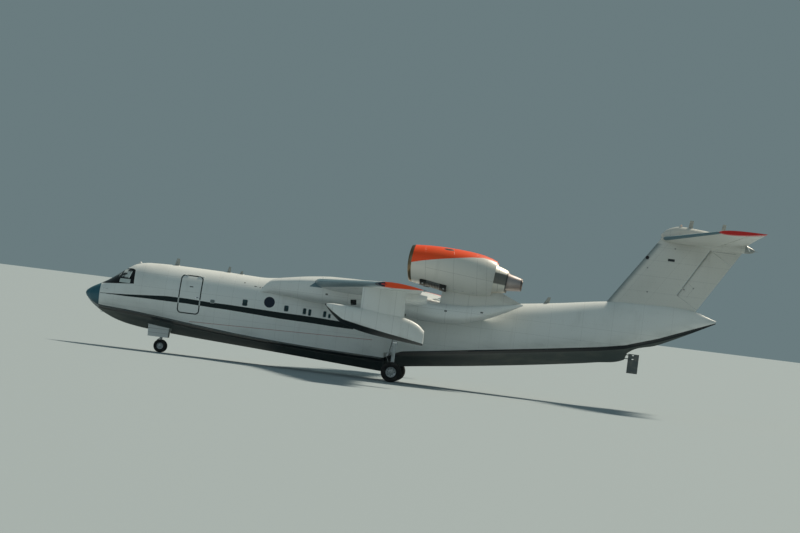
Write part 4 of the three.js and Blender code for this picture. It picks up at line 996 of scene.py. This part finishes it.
def line_rooms(hull, slack=0.02):
    """Gives the walls inside the doorway and the wheel bay their own lining."""
    hull.data.materials.append(paints["cabin_lining"])
    (s0, s1), (b0, b1) = DOOR["stations"], NOSE_BAY["stations"]
    for face in hull.data.polygons:
        s, y, z = face.center.x + HALF_LENGTH, face.center.y, face.center.z - NOSE_HEIGHT
        room = s0 - slack < s < s1 + slack and -0.4 < z < 1.42
        bay = b0 - slack / 2 < s < b1 + slack / 2 and -1.3 < z < NOSE_BAY["top"] + slack / 2
        if room and -skin_reach(s, z) + 2 * slack < y < -0.4 or bay and abs(y) < 0.335:
            face.material_index = 1


# The wing-root fairings, with the bays of the main gear
def fairing_ring(row, sign, steps=31):
    station, bottom, top, innermost, outermost = row
    ring = []
    for i in range(steps):
        angle = -math.pi / 2 + math.pi * i / (steps - 1)
        out = abs(math.cos(angle)) ** FAIRING_BOXINESS if 0 < i < steps - 1 else 0
        up = math.copysign(abs(math.sin(angle)) ** FAIRING_BOXINESS, angle)
        ring.append(at(station, sign * mix(innermost, outermost, out), mix(bottom, top, (1 + up) / 2)))
    return ring


def fairing_reach(station, level):
    """How far off the middle the fairing's side is at a station and level."""
    _, bottom, top, innermost, outermost = fairing_row(station)
    share = min(abs(level - (bottom + top) / 2) / ((top - bottom) / 2), 0.999) ** (1 / FAIRING_BOXINESS)
    return mix(innermost, outermost, math.sqrt(1 - share ** 2) ** FAIRING_BOXINESS)


def fairing_patch(name, corners, sign, lifts):
    """A plate that follows the fairing's side, between four corners of the side view."""
    centre = [sum(c[k] for c in corners) / 4 for k in (0, 1)]
    rings = []
    for share, lift in lifts:
        ring = []
        for k in range(4):
            for step in range(4):
                edge = [mix(corners[k][i], corners[(k + 1) % 4][i], step / 4) for i in (0, 1)]
                s, z = (mix(centre[i], edge[i], share) for i in (0, 1))
                ring.append(at(s, sign * (fairing_reach(s, z) + lift), z))
        rings.append(ring)
    return loft(name, rings)


FAIRING_VENT = [(12.74, 1.19), (13.01, 1.22), (13.03, 0.98), (12.77, 0.94)]
FAIRING_HATCHES = ((17.20, 1.21), (18.87, 1.34), (11.6, 1.30))
# Columns: share of the plate's size, lift over the skin.
VENT_STEPS = ((1, -0.03), (1, 0.012), (0.88, 0.016), (0.80, 0.006), (0.4, 0.006))
HATCH_STEPS = ((1, -0.02), (1, 0.003), (0.9, 0.004), (0.4, 0.004))


def build_fairings():
    for side, sign in SIDES:
        stations = spread(8.35, 9.7, 22) + spread(9.85, 20.72, 74)
        fairing = loft("fairing", [fairing_ring(fairing_row(s), sign) for s in stations])
        offsets = mirror_span(*MAIN_BAY["offsets"], sign)
        combine(fairing, block("bay", MAIN_BAY["stations"], offsets, (0, MAIN_BAY["top"])))
        pad = bar("pad", [(12.5, sign * 2.3, z) for z in (1.1, 0.75)], 0.07, 20)
        fairing = join(f"wing_root_fairing_shell_{side}", [fairing, pad])
        finish_piece(fairing, "white_paint", "fairing_white", f"wing_root_fairing_{side}")
        vent = fairing_patch(f"fairing_vent_{side}", FAIRING_VENT, sign, VENT_STEPS)
        finish_piece(vent, "dark_paint", "black_rubber", smooth=False)
        for k, (s, z) in enumerate(FAIRING_HATCHES):
            corners = [(s + a * 0.06, z + b * 0.035) for a, b in ((-1, 1), (1, 1), (1, -1), (-1, -1))]
            hatch = fairing_patch(f"fairing_hatch_{side}_{k}", corners, sign, HATCH_STEPS)
            finish_piece(hatch, "dark_paint", "nacelle_dark", smooth=False)


# The floats under the wing tips, and their pylons
def float_ring(row, middle):
    """A vee bottom under a top that is boxy ahead and round aft."""
    station, keel, chine, width, top = row
    right = [(width * t / 4, mix(keel, chine, (t / 4) ** 1.15)) for t in range(4)]
    power = 0.67 + 0.43 * min(max((station - 13.4) / 1.6, 0), 1)
    for i in range(13):
        angle = (math.pi / 2) * i / 12
        across = math.cos(angle) ** power if i < 12 else 0
        right.append((width * across, mix(chine, top, math.sin(angle) ** power)))
    left = [(-y, z) for y, z in right[1:-1]][::-1]
    return [at(station, middle + y, z) for y, z in right + left]


def strut_solid(name, sections, middle, half):
    """An upright strut of lens-shaped sections."""
    width = smooth_curve(*zip(*LENS))
    shares = [(1 - math.cos(math.pi * i / 18)) / 2 for i in range(19)]
    rings = []
    for lead, trail, level in sections:
        right, left = (
            [at(mix(lead, trail, t), middle + reach * width(t), level) for t in shares]
            for reach in (half, -half)
        )
        rings.append(right + left[::-1])
    return loft(name, rings)


def build_floats():
    rows = row_curves(FLOAT_SECTIONS)
    stations = spread(12.27, 12.7, 12) + spread(12.8, 16.68, 42)
    for side, sign in SIDES:
        middle = sign * FLOAT_OFFSET
        hull = loft(f"float_shell_{side}", [float_ring(rows(s), middle) for s in stations])
        finish_piece(hull, "white_paint", "float_white", f"float_{side}", angle=28)
        strut = strut_solid(f"float_pylon_shell_{side}", FLOAT_PYLON_SECTIONS, middle, 0.09)
        finish_piece(strut, "white_paint", "float_white", f"float_pylon_{side}")
        for k, spot in enumerate(((12.60, middle, 0.42), (12.70, middle, 0.72))):
            eye = cap(f"float_mooring_eye_{side}_{k}", ring_profile(0.035, 0.009), spot, 20, True)
            finish_piece(eye, "leg_paint", "bright_steel")


# The engines on their pylons
def engine_matrix(sign):
    droop = Matrix.Rotation(ENGINE["droop"], 4, "Y")
    return Matrix.Translation(at(ENGINE["station"], sign * ENGINE["offset"], ENGINE["level"])) @ droop


def fan_blade(turn):
    rings = []
    for share in spread(0, 1, 6):
        radius, twist = mix(FAN["root"], FAN["tip"], share), 0.50 + 0.55 * share
        half = 0.095 * (0.9 + 0.1 * share)
        ring = []
        for along, thick in BLADE_SECTION:
            a, t = along * half, thick * 0.0075
            across = a * math.sin(twist) + t * math.cos(twist)
            forward = a * math.cos(twist) - t * math.sin(twist)
            ring.append(turn @ Vector((FAN["station"] + forward, across, radius)))
        rings.append(ring)
    return loft("blade", rings)


def guide_vane(turn):
    return loft("vane", [[turn @ Vector((x, y, r)) for x, y in VANES["outline"]] for r in VANES["radii"]])


def cowl_radius(distance):
    return float(np.interp(distance, *zip(*(LIP_PROFILE[5:] + COWL_OUTSIDE))))


def cowl_spot(engine, sign, distance, degrees, lift):
    """A point over the cowl. Angles are from straight up, outboard."""
    angle, r = math.radians(degrees), cowl_radius(distance) + lift
    return engine @ Vector((distance, sign * r * math.sin(angle), r * math.cos(angle)))


def cowl_patch(name, engine, sign, distances, angles, lift, steps=(16, 12)):
    """A thin plate that lies on the cowl."""
    places = [(x, a) for x in spread(*distances, steps[0] + 1) for a in spread(*angles, steps[1] + 1)]
    layers = [[cowl_spot(engine, sign, x, a, height) for x, a in places] for height in (lift, -0.01)]
    return grid_solid(name, layers, steps)


def grid_solid(name, layers, steps):
    """A closed plate from an outer and an inner grid of points."""
    rows, columns = steps[0] + 1, steps[1] + 1
    size = rows * columns
    faces = []
    for i in range(rows - 1):
        for j in range(columns - 1):
            a = i * columns + j
            faces.append((a, a + 1, a + columns + 1, a + columns))
            faces.append(tuple(size + k for k in (a, a + columns, a + columns + 1, a + 1)))
    rim = list(range(columns)) + [i * columns - 1 for i in range(2, rows)]
    rim += list(range(size - 1, size - columns - 1, -1)) + [i * columns for i in range(rows - 2, 0, -1)]
    for k, a in enumerate(rim):
        b = rim[(k + 1) % len(rim)]
        faces.append((a, b, size + b, size + a))
    return mesh_object(name, layers[0] + layers[1], faces)


def cowl_oval(name, engine, sign, distance, degrees, half_long, half_wide, lift):
    """A low oval cap on the cowl, with its long axis along the engine."""
    rings = []
    for share, height in ((1.0, -0.02), (1.0, 0.4 * lift), (0.85, lift), (0.4, lift)):
        ring = []
        for turn in turns(32):
            x = distance + half_long * share * math.cos(turn)
            around = degrees + math.degrees(half_wide * share * math.sin(turn) / cowl_radius(distance))
            ring.append(cowl_spot(engine, sign, x, around, height))
        rings.append(ring)
    return loft(name, rings)


def rake_lip(made, engine, reach=0.9, drop=0.085, bulge=0.11):
    """Stands the lip upright on the drooping engine, lowers it, and brings its sides forward."""
    back = engine.inverted()
    for vertex in made.data.vertices:
        local = back @ vertex.co
        share = min(max((reach - local.x) / reach, 0), 1)
        side = max(1 - (local.z / 0.87) ** 2, 0)
        local.x -= (math.tan(ENGINE["droop"]) * local.z + bulge * side) * share
        local.z -= drop * share ** 1.5
        vertex.co = engine @ local


# Columns: name, profile, sides, slot, paint, node, angle of its sharp edges.
ENGINE_SHELLS = (
    ("nacelle_shell", COWL_PROFILE, 112, "nacelle_paint", "nacelle_paint", "nacelle", 40),
    ("nacelle_lip", LIP_PROFILE + LIP_BACK, 112, "nacelle_paint", "lip_metal", "nacelle", 50),
    ("fan_nozzle_shell", FAN_NOZZLE_PROFILE, 96, "hot_metal", "fan_nozzle_metal", "nozzle", 40),
    ("core_nozzle_shell", CORE_NOZZLE_PROFILE, 96, "hot_metal", "core_nozzle_metal", "nozzle", 40),
)
# Columns: start, end, lift, paint.
COOLER_BOXES = (
    (0.48, 0.80, 0.10, "black_rubber"),
    (0.80, 1.46, 0.075, "nacelle_dark"),
    (1.46, 1.78, 0.10, "black_rubber"),
)
COOLER_SLATS = spread(0.84, 1.365, 8)
COOLER_STUDS = (0.63, 1.66)
COWL_LATCHES = (2.1, 2.5, 3.0)
COWL_VENT = (1.55, 24)


def build_cooler(engine, side, sign):
    """The cooler under the cowl: three boxes, a row of slats and two studs."""
    for k, (start, end, lift, paint) in enumerate(COOLER_BOXES):
        plate = cowl_patch(f"cooler_box_{side}_{k}", engine, sign, (start, end), (142, 187), lift)
        rake_lip(plate, engine)
        finish_piece(plate, "nacelle_paint", paint, angle=50)
    for k, x in enumerate(COOLER_SLATS):
        name, reach = f"cooler_slat_{side}_{k}", (x, x + 0.03)
        slat = cowl_patch(name, engine, sign, reach, (145, 172), 0.086, (2, 10))
        rake_lip(slat, engine)
        finish_piece(slat, "nacelle_paint", "engine_dark", smooth=False)
    for k, x in enumerate(COOLER_STUDS):
        ends = [cowl_spot(engine, sign, x, 152, lift) for lift in (-0.02, 0.115)]
        stud = tube(f"cooler_stud_{side}_{k}", ends, 0.055, 18, 0.8)
        rake_lip(stud, engine)
        finish_piece(stud, "nacelle_paint", "leg_grey")


def build_engines():
    for side, sign in SIDES:
        engine = engine_matrix(sign)
        for name, profile, sides, slot, paint, node, angle in ENGINE_SHELLS:
            shell = lathe(f"{name}_{side}", profile, engine, sides)
            if node == "nacelle":
                rake_lip(shell, engine)
            finish_piece(shell, slot, paint, f"{node}_{side}", angle=angle)
        spinner = lathe("spinner", SPINNER_PROFILE, engine, 64, False)
        blades = [fan_blade(engine @ Matrix.Rotation(a, 4, "X")) for a in turns(FAN["blades"])]
        fan = join(f"fan_rotor_{side}", [spinner] + blades)
        finish_piece(fan, "fan_metal", "fan_metal", f"fan_{side}", body=f"fan_{side}", angle=40)
        vanes = [guide_vane(engine @ Matrix.Rotation(a, 4, "X")) for a in turns(VANES["count"])]
        finish_piece(join(f"guide_vanes_{side}", vanes), "engine_metal", "fan_metal")

        pylon = strut_solid(f"engine_pylon_shell_{side}", PYLON_SECTIONS, sign * ENGINE["offset"], 0.12)
        envelope = [(-0.01, 0)] + [(x, r + MATE_GAP) for x, r in LIP_PROFILE[4:] + COWL_OUTSIDE] + NOZZLE_ROOM
        combine(pylon, lathe("cowl_room", envelope, engine, 112, False))
        finish_piece(pylon, "white_paint", "pylon_white", f"engine_pylon_{side}")

        build_cooler(engine, side, sign)
        for name, half_long, half_wide, lift, paint in (
            ("cowl_vent", 0.20, 0.075, 0.010, "black_rubber"),
            ("cowl_vent_rim", 0.235, 0.105, 0.005, "nacelle_dark"),
        ):
            oval = cowl_oval(f"{name}_{side}", engine, sign, *COWL_VENT, half_long, half_wide, lift)
            finish_piece(oval, "nacelle_paint", paint)
        for k, x in enumerate(COWL_LATCHES):
            name, reach = f"cowl_latch_{side}_{k}", (x, x + 0.12)
            latch = cowl_patch(name, engine, sign, reach, (150, 152.2), 0.006, (4, 2))
            finish_piece(latch, "nacelle_paint", "bright_steel", smooth=False)


# The tail
def aerial(name, station, levels, chords, lean, thick):
    """A blade that narrows towards its tip."""
    rings = []
    for share in spread(0, 1, 5):
        half_chord, half = mix(*chords, share) / 2, thick * (1 - 0.4 * share)
        middle, level = station + lean * share, mix(*levels, share)
        rings.append([at(middle + half_chord * math.cos(a), half * math.sin(a), level) for a in turns(16)])
    return loft(name, rings)


def build_tail():
    rows = row_curves(BULLET_SECTIONS)
    rings = []
    for s in spread(26.79, 27.3, 12) + spread(27.45, 30.6, 24) + spread(30.68, 31.26, 14):
        station, bottom, top, width = rows(s)
        middle, half = (bottom + top) / 2, (top - bottom) / 2
        rings.append([at(station, width * math.cos(a), middle + half * math.sin(a)) for a in turns(40)])
    spike = bar("spike", [(31.20, 0, 5.79), (31.41, 0, 5.79)], 0.020, 12, 0.4)
    bullet = join("tail_bullet_shell", [loft("bullet", rings), spike])
    finish_piece(bullet, "white_paint", "bullet_white", "tail_bullet")
    for k, (station, foot, head, lean) in enumerate(((28.11, 6.43, 6.88, 0.05), (29.66, 6.26, 6.88, 0.04))):
        blade = aerial(f"tail_aerial_{k}", station, (foot, head), (0.21, 0.17), lean, 0.016)
        finish_piece(blade, "white_paint", "aerial_grey", "tail_bullet")
    dome = [(0, 0), (0, 0.06), (0.05, 0.055), (0.09, 0.035), (0.105, 0)]
    finish_piece(cap("tail_beacon", dome, (27.67, 0, 6.535)), "orange_paint", "beacon_lens")
    plate = [(0, 0), (0, 0.085), (0.025, 0.075), (0.025, 0)]
    finish_piece(cap("tail_beacon_base", plate, (27.67, 0, 6.52)), "white_paint", "bright_steel")


# The small things on the hull
def skin_patch(name, spot, size, corner, sign, edge, top, shares):
    """A plate with rounded corners on the hull's side, by the lifts of its edge and its top."""
    (station, level), (long, high) = spot, size
    rings = []
    for share, lift in [(1, -0.01), (1, edge)] + [(share, top) for share in shares]:
        a, b = long * share, high * share
        low, far = (station - a, level - b), (station + a, level + b)
        outline = rounded_rectangle(low, far, min(corner, 0.999 * min(a, b)) * share, 5)
        rings.append([at(s, sign * (skin_reach(s, z) + lift), z) for s, z in outline])
    return loft(name, rings)


# Columns: name, station, level, half-length, half-height, corner, lift of the edge, lift of the top, paint.
DOOR_PLATES = (
    ("door_handle_plate", 5.44, 0.40, 0.07, 0.035, 0.02, 0.003, 0.005, "bright_steel"),
    ("door_peep_plate", 5.12, 0.87, 0.085, 0.02, 0.01, 0.002, 0.003, "black_rubber"),
)
# Columns: station, level, half-length, half-height.
CROWN_PORTS = (
    (7.57, 1.37, 0.03, 0.03),
    (8.10, 1.26, 0.06, 0.018),
    (8.32, 1.24, 0.028, 0.028),
    (8.43, 1.25, 0.028, 0.028),
)
PROBES = ((1.12, 0.30), (1.30, 0.05))
RIM_WIDTH = 0.022


def build_windows(side, sign):
    for k, (station, level, long, high) in enumerate(CABIN_WINDOWS):
        spot, grown = (station, level), (long + RIM_WIDTH, high + RIM_WIDTH)
        pane = skin_patch(
            f"cabin_window_{side}_{k}", spot, (long, high), 0.05, sign, 0.002, 0.004, (0.97, 0.75, 0.5, 0.25))
        finish_piece(pane, "cockpit_glass", "window_glass")
        rim = skin_patch(
            f"cabin_window_rim_{side}_{k}", spot, grown, 0.06, sign, 0.0012, 0.0018, (0.98, 0.7, 0.35))
        finish_piece(rim, "white_paint", "leg_grey")
    for k, (station, level, long, high) in enumerate(CROWN_PORTS):
        spot, name = (station, level), f"crown_port_{side}_{k}"
        plate = skin_patch(name, spot, (long, high), 0.03, sign, 0.001, 0.002, (0.96, 0.5))
        finish_piece(plate, "dark_paint", "nacelle_dark")


def chine_edge(row):
    return row[2], row[3]


def build_rails(side, sign):
    for name, edge, foot, out, first in (
        ("chine_rail", chine_edge, -0.035, 0.035, 0.78), ("spray_strip", spray_rail, -0.03, 0.02, 3.4),
    ):
        rings = []
        for s in spread(first, 14.4, 90):
            y, z = edge(hull_row(s))
            section = ((-0.03, 0.012), (0.004, 0.014), (out, foot), (-0.03, -0.02))
            rings.append([at(s, sign * (y + dy), z + dz) for dy, dz in section])
        finish_piece(loft(f"{name}_{side}", rings), "dark_paint", "water_rudder_paint", smooth=False)


def build_nose_details(side, sign):
    path = [(s, sign * y, z) for s, y, z in ((1.30, 0.34, 0.90), (1.52, 0.16, 1.16), (1.60, 0.12, 1.24))]
    wiper = bar(f"wiper_{side}", path, 0.012, 8)
    lay_on_crown(wiper, 0.012)
    finish_piece(wiper, "dark_paint", "black_rubber")
    for k, (station, level) in enumerate(PROBES):
        reach = skin_reach(station, level)
        bends = ((0, -0.01), (-0.02, 0.08), (-0.22, 0.09))
        path = [(station + ahead, sign * (reach + out), level) for ahead, out in bends]
        finish_piece(bar(f"air_probe_{side}_{k}", path, 0.014, 10, 0.7), "leg_paint", "bright_steel")


def build_hull_details():
    for side, sign in SIDES:
        build_windows(side, sign)
        build_rails(side, sign)
        build_nose_details(side, sign)
    for name, station, height, chords, lean in ROOF_BLADES:
        crown = hull_row(station)[6]
        blade = aerial(f"roof_blade_{name}", station, (crown - 0.02, crown + height), chords, lean, 0.018)
        finish_piece(blade, "white_paint", "aerial_grey")
        plate, spot = [(0, 0), (0, 0.17), (0.012, 0.16), (0.012, 0)], (station, 0, crown - 0.006)
        finish_piece(cap(f"roof_blade_{name}_foot", plate, spot), "white_paint", "leg_grey")
    dome = [(0, 0), (0, 0.09), (0.05, 0.085), (0.09, 0.05), (0.10, 0)]
    knob = cap("roof_knob", dome, (2.42, 0, hull_row(2.42)[6] - 0.01), 32)
    finish_piece(knob, "white_paint", "leg_grey")
    for name, station, level, long, high, corner, edge, top, paint in DOOR_PLATES:
        plate = skin_patch(name, (station, level), (long, high), corner, -1, edge, top, (0.95,))
        finish_piece(plate, "leg_paint", paint, body="passenger_door")
    ends = [(s, -(skin_reach(s, 0.40) + 0.012), 0.40) for s in (5.40, 5.48)]
    grip = bar("door_handle_grip", ends, 0.008, 10)
    finish_piece(grip, "leg_paint", "black_rubber", body="passenger_door")
    matrix = Matrix.Translation(at(0.86, 0, -0.80)) @ TURN_SIDE
    eye = lathe("bow_mooring_eye", ring_profile(0.045, 0.012), matrix, 24)
    finish_piece(eye, "leg_paint", "bright_steel")


def lay_on_crown(made, lift):
    """Brings a bar's points near to the nose's upper skin."""
    for vertex in made.data.vertices:
        s, y = vertex.co.x + HALF_LENGTH, vertex.co.y
        *_, width, widest, crown = hull_row(s)
        skin = mix(widest, crown, math.sqrt(max(0, 1 - (y / width) ** 2)))
        vertex.co.z = mix(vertex.co.z, skin + lift + NOSE_HEIGHT, 0.88)


# Wheels and legs. The bead is a share of the tyre's radius, and the rim lies a hair inside it.
BEAD = 0.52
# Columns: share of the half-width, share of the radius.
TYRE_SIDE = ((0.93, 0.64), (1, 0.76), (0.985, 0.86), (0.90, 0.94), (0.78, 0.978))
GROOVES = (0.52, 0.18)
# Columns: share of the half-width, share of the rim's radius.
WHEEL_OUTSIDE = ((0.55, 0.84), (0.35, 0.66), (0.42, 0.44), (0.95, 0.38), (1.0, 0.30), (1.25, 0.26), (1.3, 0))
WHEEL_INSIDE = ((-1, 0), (-1, 0.30), (-0.2, 0.34), (-0.1, 0.80), (-1, 0.88), (-1, 1))
# Columns: name, its nodes' stem, station, offset, radius, width, gap between tyres, axle radius.
WHEEL_SETS = [("nose", "nose", NOSE_WHEEL_STATION, 0, 0.31, 0.19, 0.19, 0.038)] + [
    (f"main_{side}", "main", MAIN_LEG["station"], sign * MAIN_LEG["offset"], 0.475, 0.30, 0.26, 0.065)
    for side, sign in SIDES
]
ENDS = (("a", -1), ("b", 1))


def tyre_solid(name, radius, width, matrix):
    half, bead = width / 2, radius * BEAD
    outline = [(half * 0.62, bead), (half * 0.80, bead + 0.01)]
    outline += [(half * across, radius * out) for across, out in TYRE_SIDE]
    for groove in GROOVES:
        g, w = half * groove, half * 0.045
        outline += [(g + w, radius * 0.992), (g + w * 0.8, radius * 0.965)]
        outline += [(g - w * 0.8, radius * 0.965), (g - w, radius * 0.996)]
    return lathe(name, outline + [(-x, r) for x, r in reversed(outline)], matrix, 84)


def wheel_disc(radius, width, matrix, out):
    half, rim = width / 2 * 0.62, radius * BEAD - 0.0005
    profile = [(half, rim), (half + 0.012, rim * 0.97), (half + 0.004, rim * 0.90)]
    profile += [(half * across, rim * high) for across, high in WHEEL_OUTSIDE + WHEEL_INSIDE]
    disc = lathe("disc", [(x * out, r) for x, r in profile[::-1]], matrix, 64, False)

    def pegs(name, shift, near, far, thick, sides):
        found = []
        for angle in turns(8, shift):
            turn = matrix @ Matrix.Rotation(angle, 4, "X")
            ends = [turn @ Vector((half * x * out, 0, rim * 0.66)) for x in (near, far)]
            found.append(tube(name, ends, rim * thick, sides))
        return found

    combine(disc, join("holes", pegs("hole", 0, -2, 2, 0.085, 14)))
    return [disc] + pegs("bolt", 0.5, 0.25, 0.60, 0.035, 6)


def build_wheels():
    for name, stem, station, middle, radius, width, gap, axle in WHEEL_SETS:
        side = name[len(stem):]
        level, reach = radius - NOSE_HEIGHT, (gap + width) / 2
        body = f"{stem}_wheels{side}"
        parts = [bar("axle", [(station, middle + k * reach, level) for k in (-1, 1)], axle, 28)]
        for end, out in ENDS:
            matrix = Matrix.Translation(at(station, middle + out * reach, level)) @ TURN_SIDE
            tyre = tyre_solid(f"{name}_tyre_{end}_tread", radius, width, matrix)
            finish_piece(tyre, "tyre", "tyre_rubber", f"{stem}_tyre{side}_{end}", body=body, angle=30)
            parts += wheel_disc(radius, width, matrix, out)
        wheel = join(f"{name}_wheel_discs", parts)
        finish_piece(wheel, "wheel_metal", "wheel_alloy", f"{stem}_wheel_hub{side}", body=body)
        for end, out in ENDS if side else ():
            matrix = Matrix.Translation(at(station, middle + out * 0.155, level)) @ TURN_SIDE
            section = [(-0.02, 0.12), (-0.02, 0.20), (0.02, 0.20), (0.02, 0.12)]
            brake = lathe(f"{name}_brake_{end}", section, matrix, 48)
            finish_piece(brake, "leg_paint", "engine_dark")


def smooth_path(points, steps=5):
    """A rounded line through the points."""
    out = []
    for i in range(len(points) - 1):
        p0, p1, p2, p3 = (points[min(max(i + k, 0), len(points) - 1)] for k in (-1, 0, 1, 2))
        for k in range(steps):
            t = k / steps
            bend = (2 * p0 - 5 * p1 + 4 * p2 - p3) * t * t + (3 * p1 - p0 - 3 * p2 + p3) * t ** 3
            out.append(0.5 * (2 * p1 + (p2 - p0) * t + bend))
    return out + [points[-1]]


# Columns: station, level.
BRAKE_HOSE = ((14.90, 0.9), (14.86, 0.2), (14.87, -0.5), (14.80, -1.0), (14.83, -1.5), (14.90, -1.78))
NOSE_HOSE = ((3.93, 0.04, -0.85), (3.95, 0.05, -1.2), (3.93, 0.05, -1.5))
# Columns: name, inner end, outer end, radius.
DOOR_RODS = (
    ("main_door_rod", (15.1, 2.60, 0.35), (15.04, 2.26, 0.05), 0.02),
    ("nose_door_rod", (3.95, 0.30, -1.2), (3.87, 0.07, -1.05), 0.014),
)
CLAMP = [(-0.03, 0.119), (-0.03, 0.132), (0.03, 0.132), (0.03, 0.119)]
TAXI_LAMP = [(-0.09, 0), (-0.08, 0.05), (0, 0.085), (0.012, 0.085), (0.02, 0.07), (0.024, 0)]


def build_leg_details():
    for side, sign in SIDES:
        leg = sign * MAIN_LEG["offset"]
        for k, shift in enumerate((-0.09, 0.09)):
            path = smooth_path([at(s, leg + shift, z) for s, z in BRAKE_HOSE])
            finish_piece(tube(f"brake_hose_{side}_{k}", path, 0.012, 8), "leg_paint", "black_rubber")
        for name, *ends, radius in DOOR_RODS:
            rod = bar(f"{name}_{side}", [(s, sign * y, z) for s, y, z in ends], radius)
            finish_piece(rod, "leg_paint", "bright_steel")
        for k, level in enumerate((-0.55, 0.1)):
            clamp = cap(f"main_leg_clamp_{side}_{k}", CLAMP, (MAIN_LEG["station"], leg, level), 40, True)
            finish_piece(clamp, "leg_paint", "bright_steel")
    facing = Matrix.Translation(at(3.70, 0, -1.24)) @ Matrix.Rotation(math.pi, 4, "Z")
    finish_piece(lathe("taxi_lamp", TAXI_LAMP, facing, 36, False), "leg_paint", "clear_lens")
    bracket = bar("taxi_lamp_bracket", [(3.78, 0, -1.24), (3.85, 0, -1.24)], 0.03)
    finish_piece(bracket, "leg_paint", "leg_grey")
    path = smooth_path([at(*spot) for spot in NOSE_HOSE])
    finish_piece(tube("nose_leg_hose", path, 0.010, 8), "leg_paint", "black_rubber")


# Lights and wicks on the wings
TIP_LAMP = [(-0.12, 0), (-0.09, 0.028), (0, 0.045), (0.14, 0.035), (0.2, 0)]
# Columns: name, body, offsets, how far the root and the end hang under the edge.
WICKS = (
    ("aileron_wick", "aileron", (12.6, 13.6, 14.6), 0.035, 0.045),
    ("wing_tip_wick", None, (15.9, 16.2), 0.03, 0.04),
)


def wing_edge(offset, share):
    """Station and level of the wing at a share of its chord."""
    chord = WING["root"] - offset * (WING["root"] - WING["tip"]) / WING["semi"]
    return WING["lead"] + offset * WING["sweep"] + chord * share, WING["level"] + offset * WING["dihedral"]


def build_wing_details():
    for side, sign in SIDES:
        s, z = wing_edge(16.30, 0.10)
        place = Matrix.Translation(at(s + 0.05, sign * 16.365, z + 0.01))
        lamp = lathe(f"tip_lamp_{side}", TIP_LAMP, place, 24, False)
        finish_piece(lamp, "orange_paint", "red_lens" if sign < 0 else "green_lens")
        for name, surface, offsets, root, end in WICKS:
            for k, y in enumerate(offsets):
                s, z = wing_edge(y, 1.0)
                ends = [(s - 0.03, sign * y, z - root), (s + 0.14, sign * y, z - end)]
                wick = bar(f"{name}_{side}_{k}", ends, 0.006, 8, 0.5)
                body = f"{surface}_{side}" if surface else "airframe"
                finish_piece(wick, "dark_paint", "black_rubber", body=body)


# CAD nodes that keep their shape, by their paint. They get smooth shading and a finished surface.
KEPT = dict(
    wing_white=("wing", "flap_inner", "flap_outer", "aileron"), tip_orange=("wing_tip",),
    tail_white=("fin", "rudder", "tailplane", "elevator"), engine_dark=("engine_core",),
    water_rudder_paint=("water_rudder",), leg_grey=("nose_leg", "nose_fork", "main_leg"),
    gear_door_white=("nose_gear_door", "main_gear_door"),
)


def dress_kept_nodes():
    for paint, stems in KEPT.items():
        names = [stem + side for stem in stems for side in ("", "_port", "_stbd")]
        for node in (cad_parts[name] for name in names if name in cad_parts):
            for held in node.material_slots:
                held.material = paints[paint]
            if "custom_normal" in node.data.attributes:
                node.data.attributes.remove(node.data.attributes["custom_normal"])
            node.data.shade_smooth()
            seam = node.modifiers.new("weld", "WELD")
            seam.merge_threshold = 0.00002
            split = node.modifiers.new("edges", "EDGE_SPLIT")
            split.split_angle = math.radians(32)


build_hull()
build_fairings()
build_floats()
build_engines()
build_tail()
build_hull_details()
build_wheels()
build_leg_details()
build_wing_details()
dress_kept_nodes()

FLOOR_HALF = 3000
FLOOR_COLOR, WORLD_COLOR, WORLD_STRENGTH = (0.32, 0.38, 0.41, 1), (0.36, 0.50, 0.53, 1), 0.40
# Columns: name, direction of the light's source, strength, colour, softness in degrees.
SUNS = (
    ("key", (0.42, 0.52, 0.80), 3.9, (1.0, 0.90, 0.74), 9),
    ("fill", (-0.5, -0.9, 0.5), 0.16, (0.75, 0.88, 1.0), 40),
)


# Stage: a plain pale floor with soft light from above and abaft the far side.
def make_stage():
    corners = [(x * FLOOR_HALF, y * FLOOR_HALF, 0) for x, y in ((-1, -1), (1, -1), (1, 1), (-1, 1))]
    floor = mesh_object("floor", corners, [(0, 1, 2, 3)])
    material = bpy.data.materials.new("floor")
    material.use_nodes = True
    shader = material.node_tree.nodes["Principled BSDF"]
    shader.inputs["Base Color"].default_value = FLOOR_COLOR
    shader.inputs["Roughness"].default_value = 0.9
    floor.data.materials.append(material)
    world = bpy.data.worlds.new("studio")
    bpy.context.scene.world = world
    world.use_nodes = True
    backdrop = world.node_tree.nodes["Background"]
    backdrop.inputs["Color"].default_value = WORLD_COLOR
    backdrop.inputs["Strength"].default_value = WORLD_STRENGTH
    for name, direction, strength, color, softness in SUNS:
        data = bpy.data.lights.new(name, "SUN")
        data.energy, data.color, data.angle = strength, color, math.radians(softness)
        lamp = linked(name, data)
        lamp.rotation_mode = "QUATERNION"
        lamp.rotation_quaternion = Vector(direction).to_track_quat("Z", "Y")
    bpy.context.scene.view_settings.view_transform = "Standard"


make_stage()
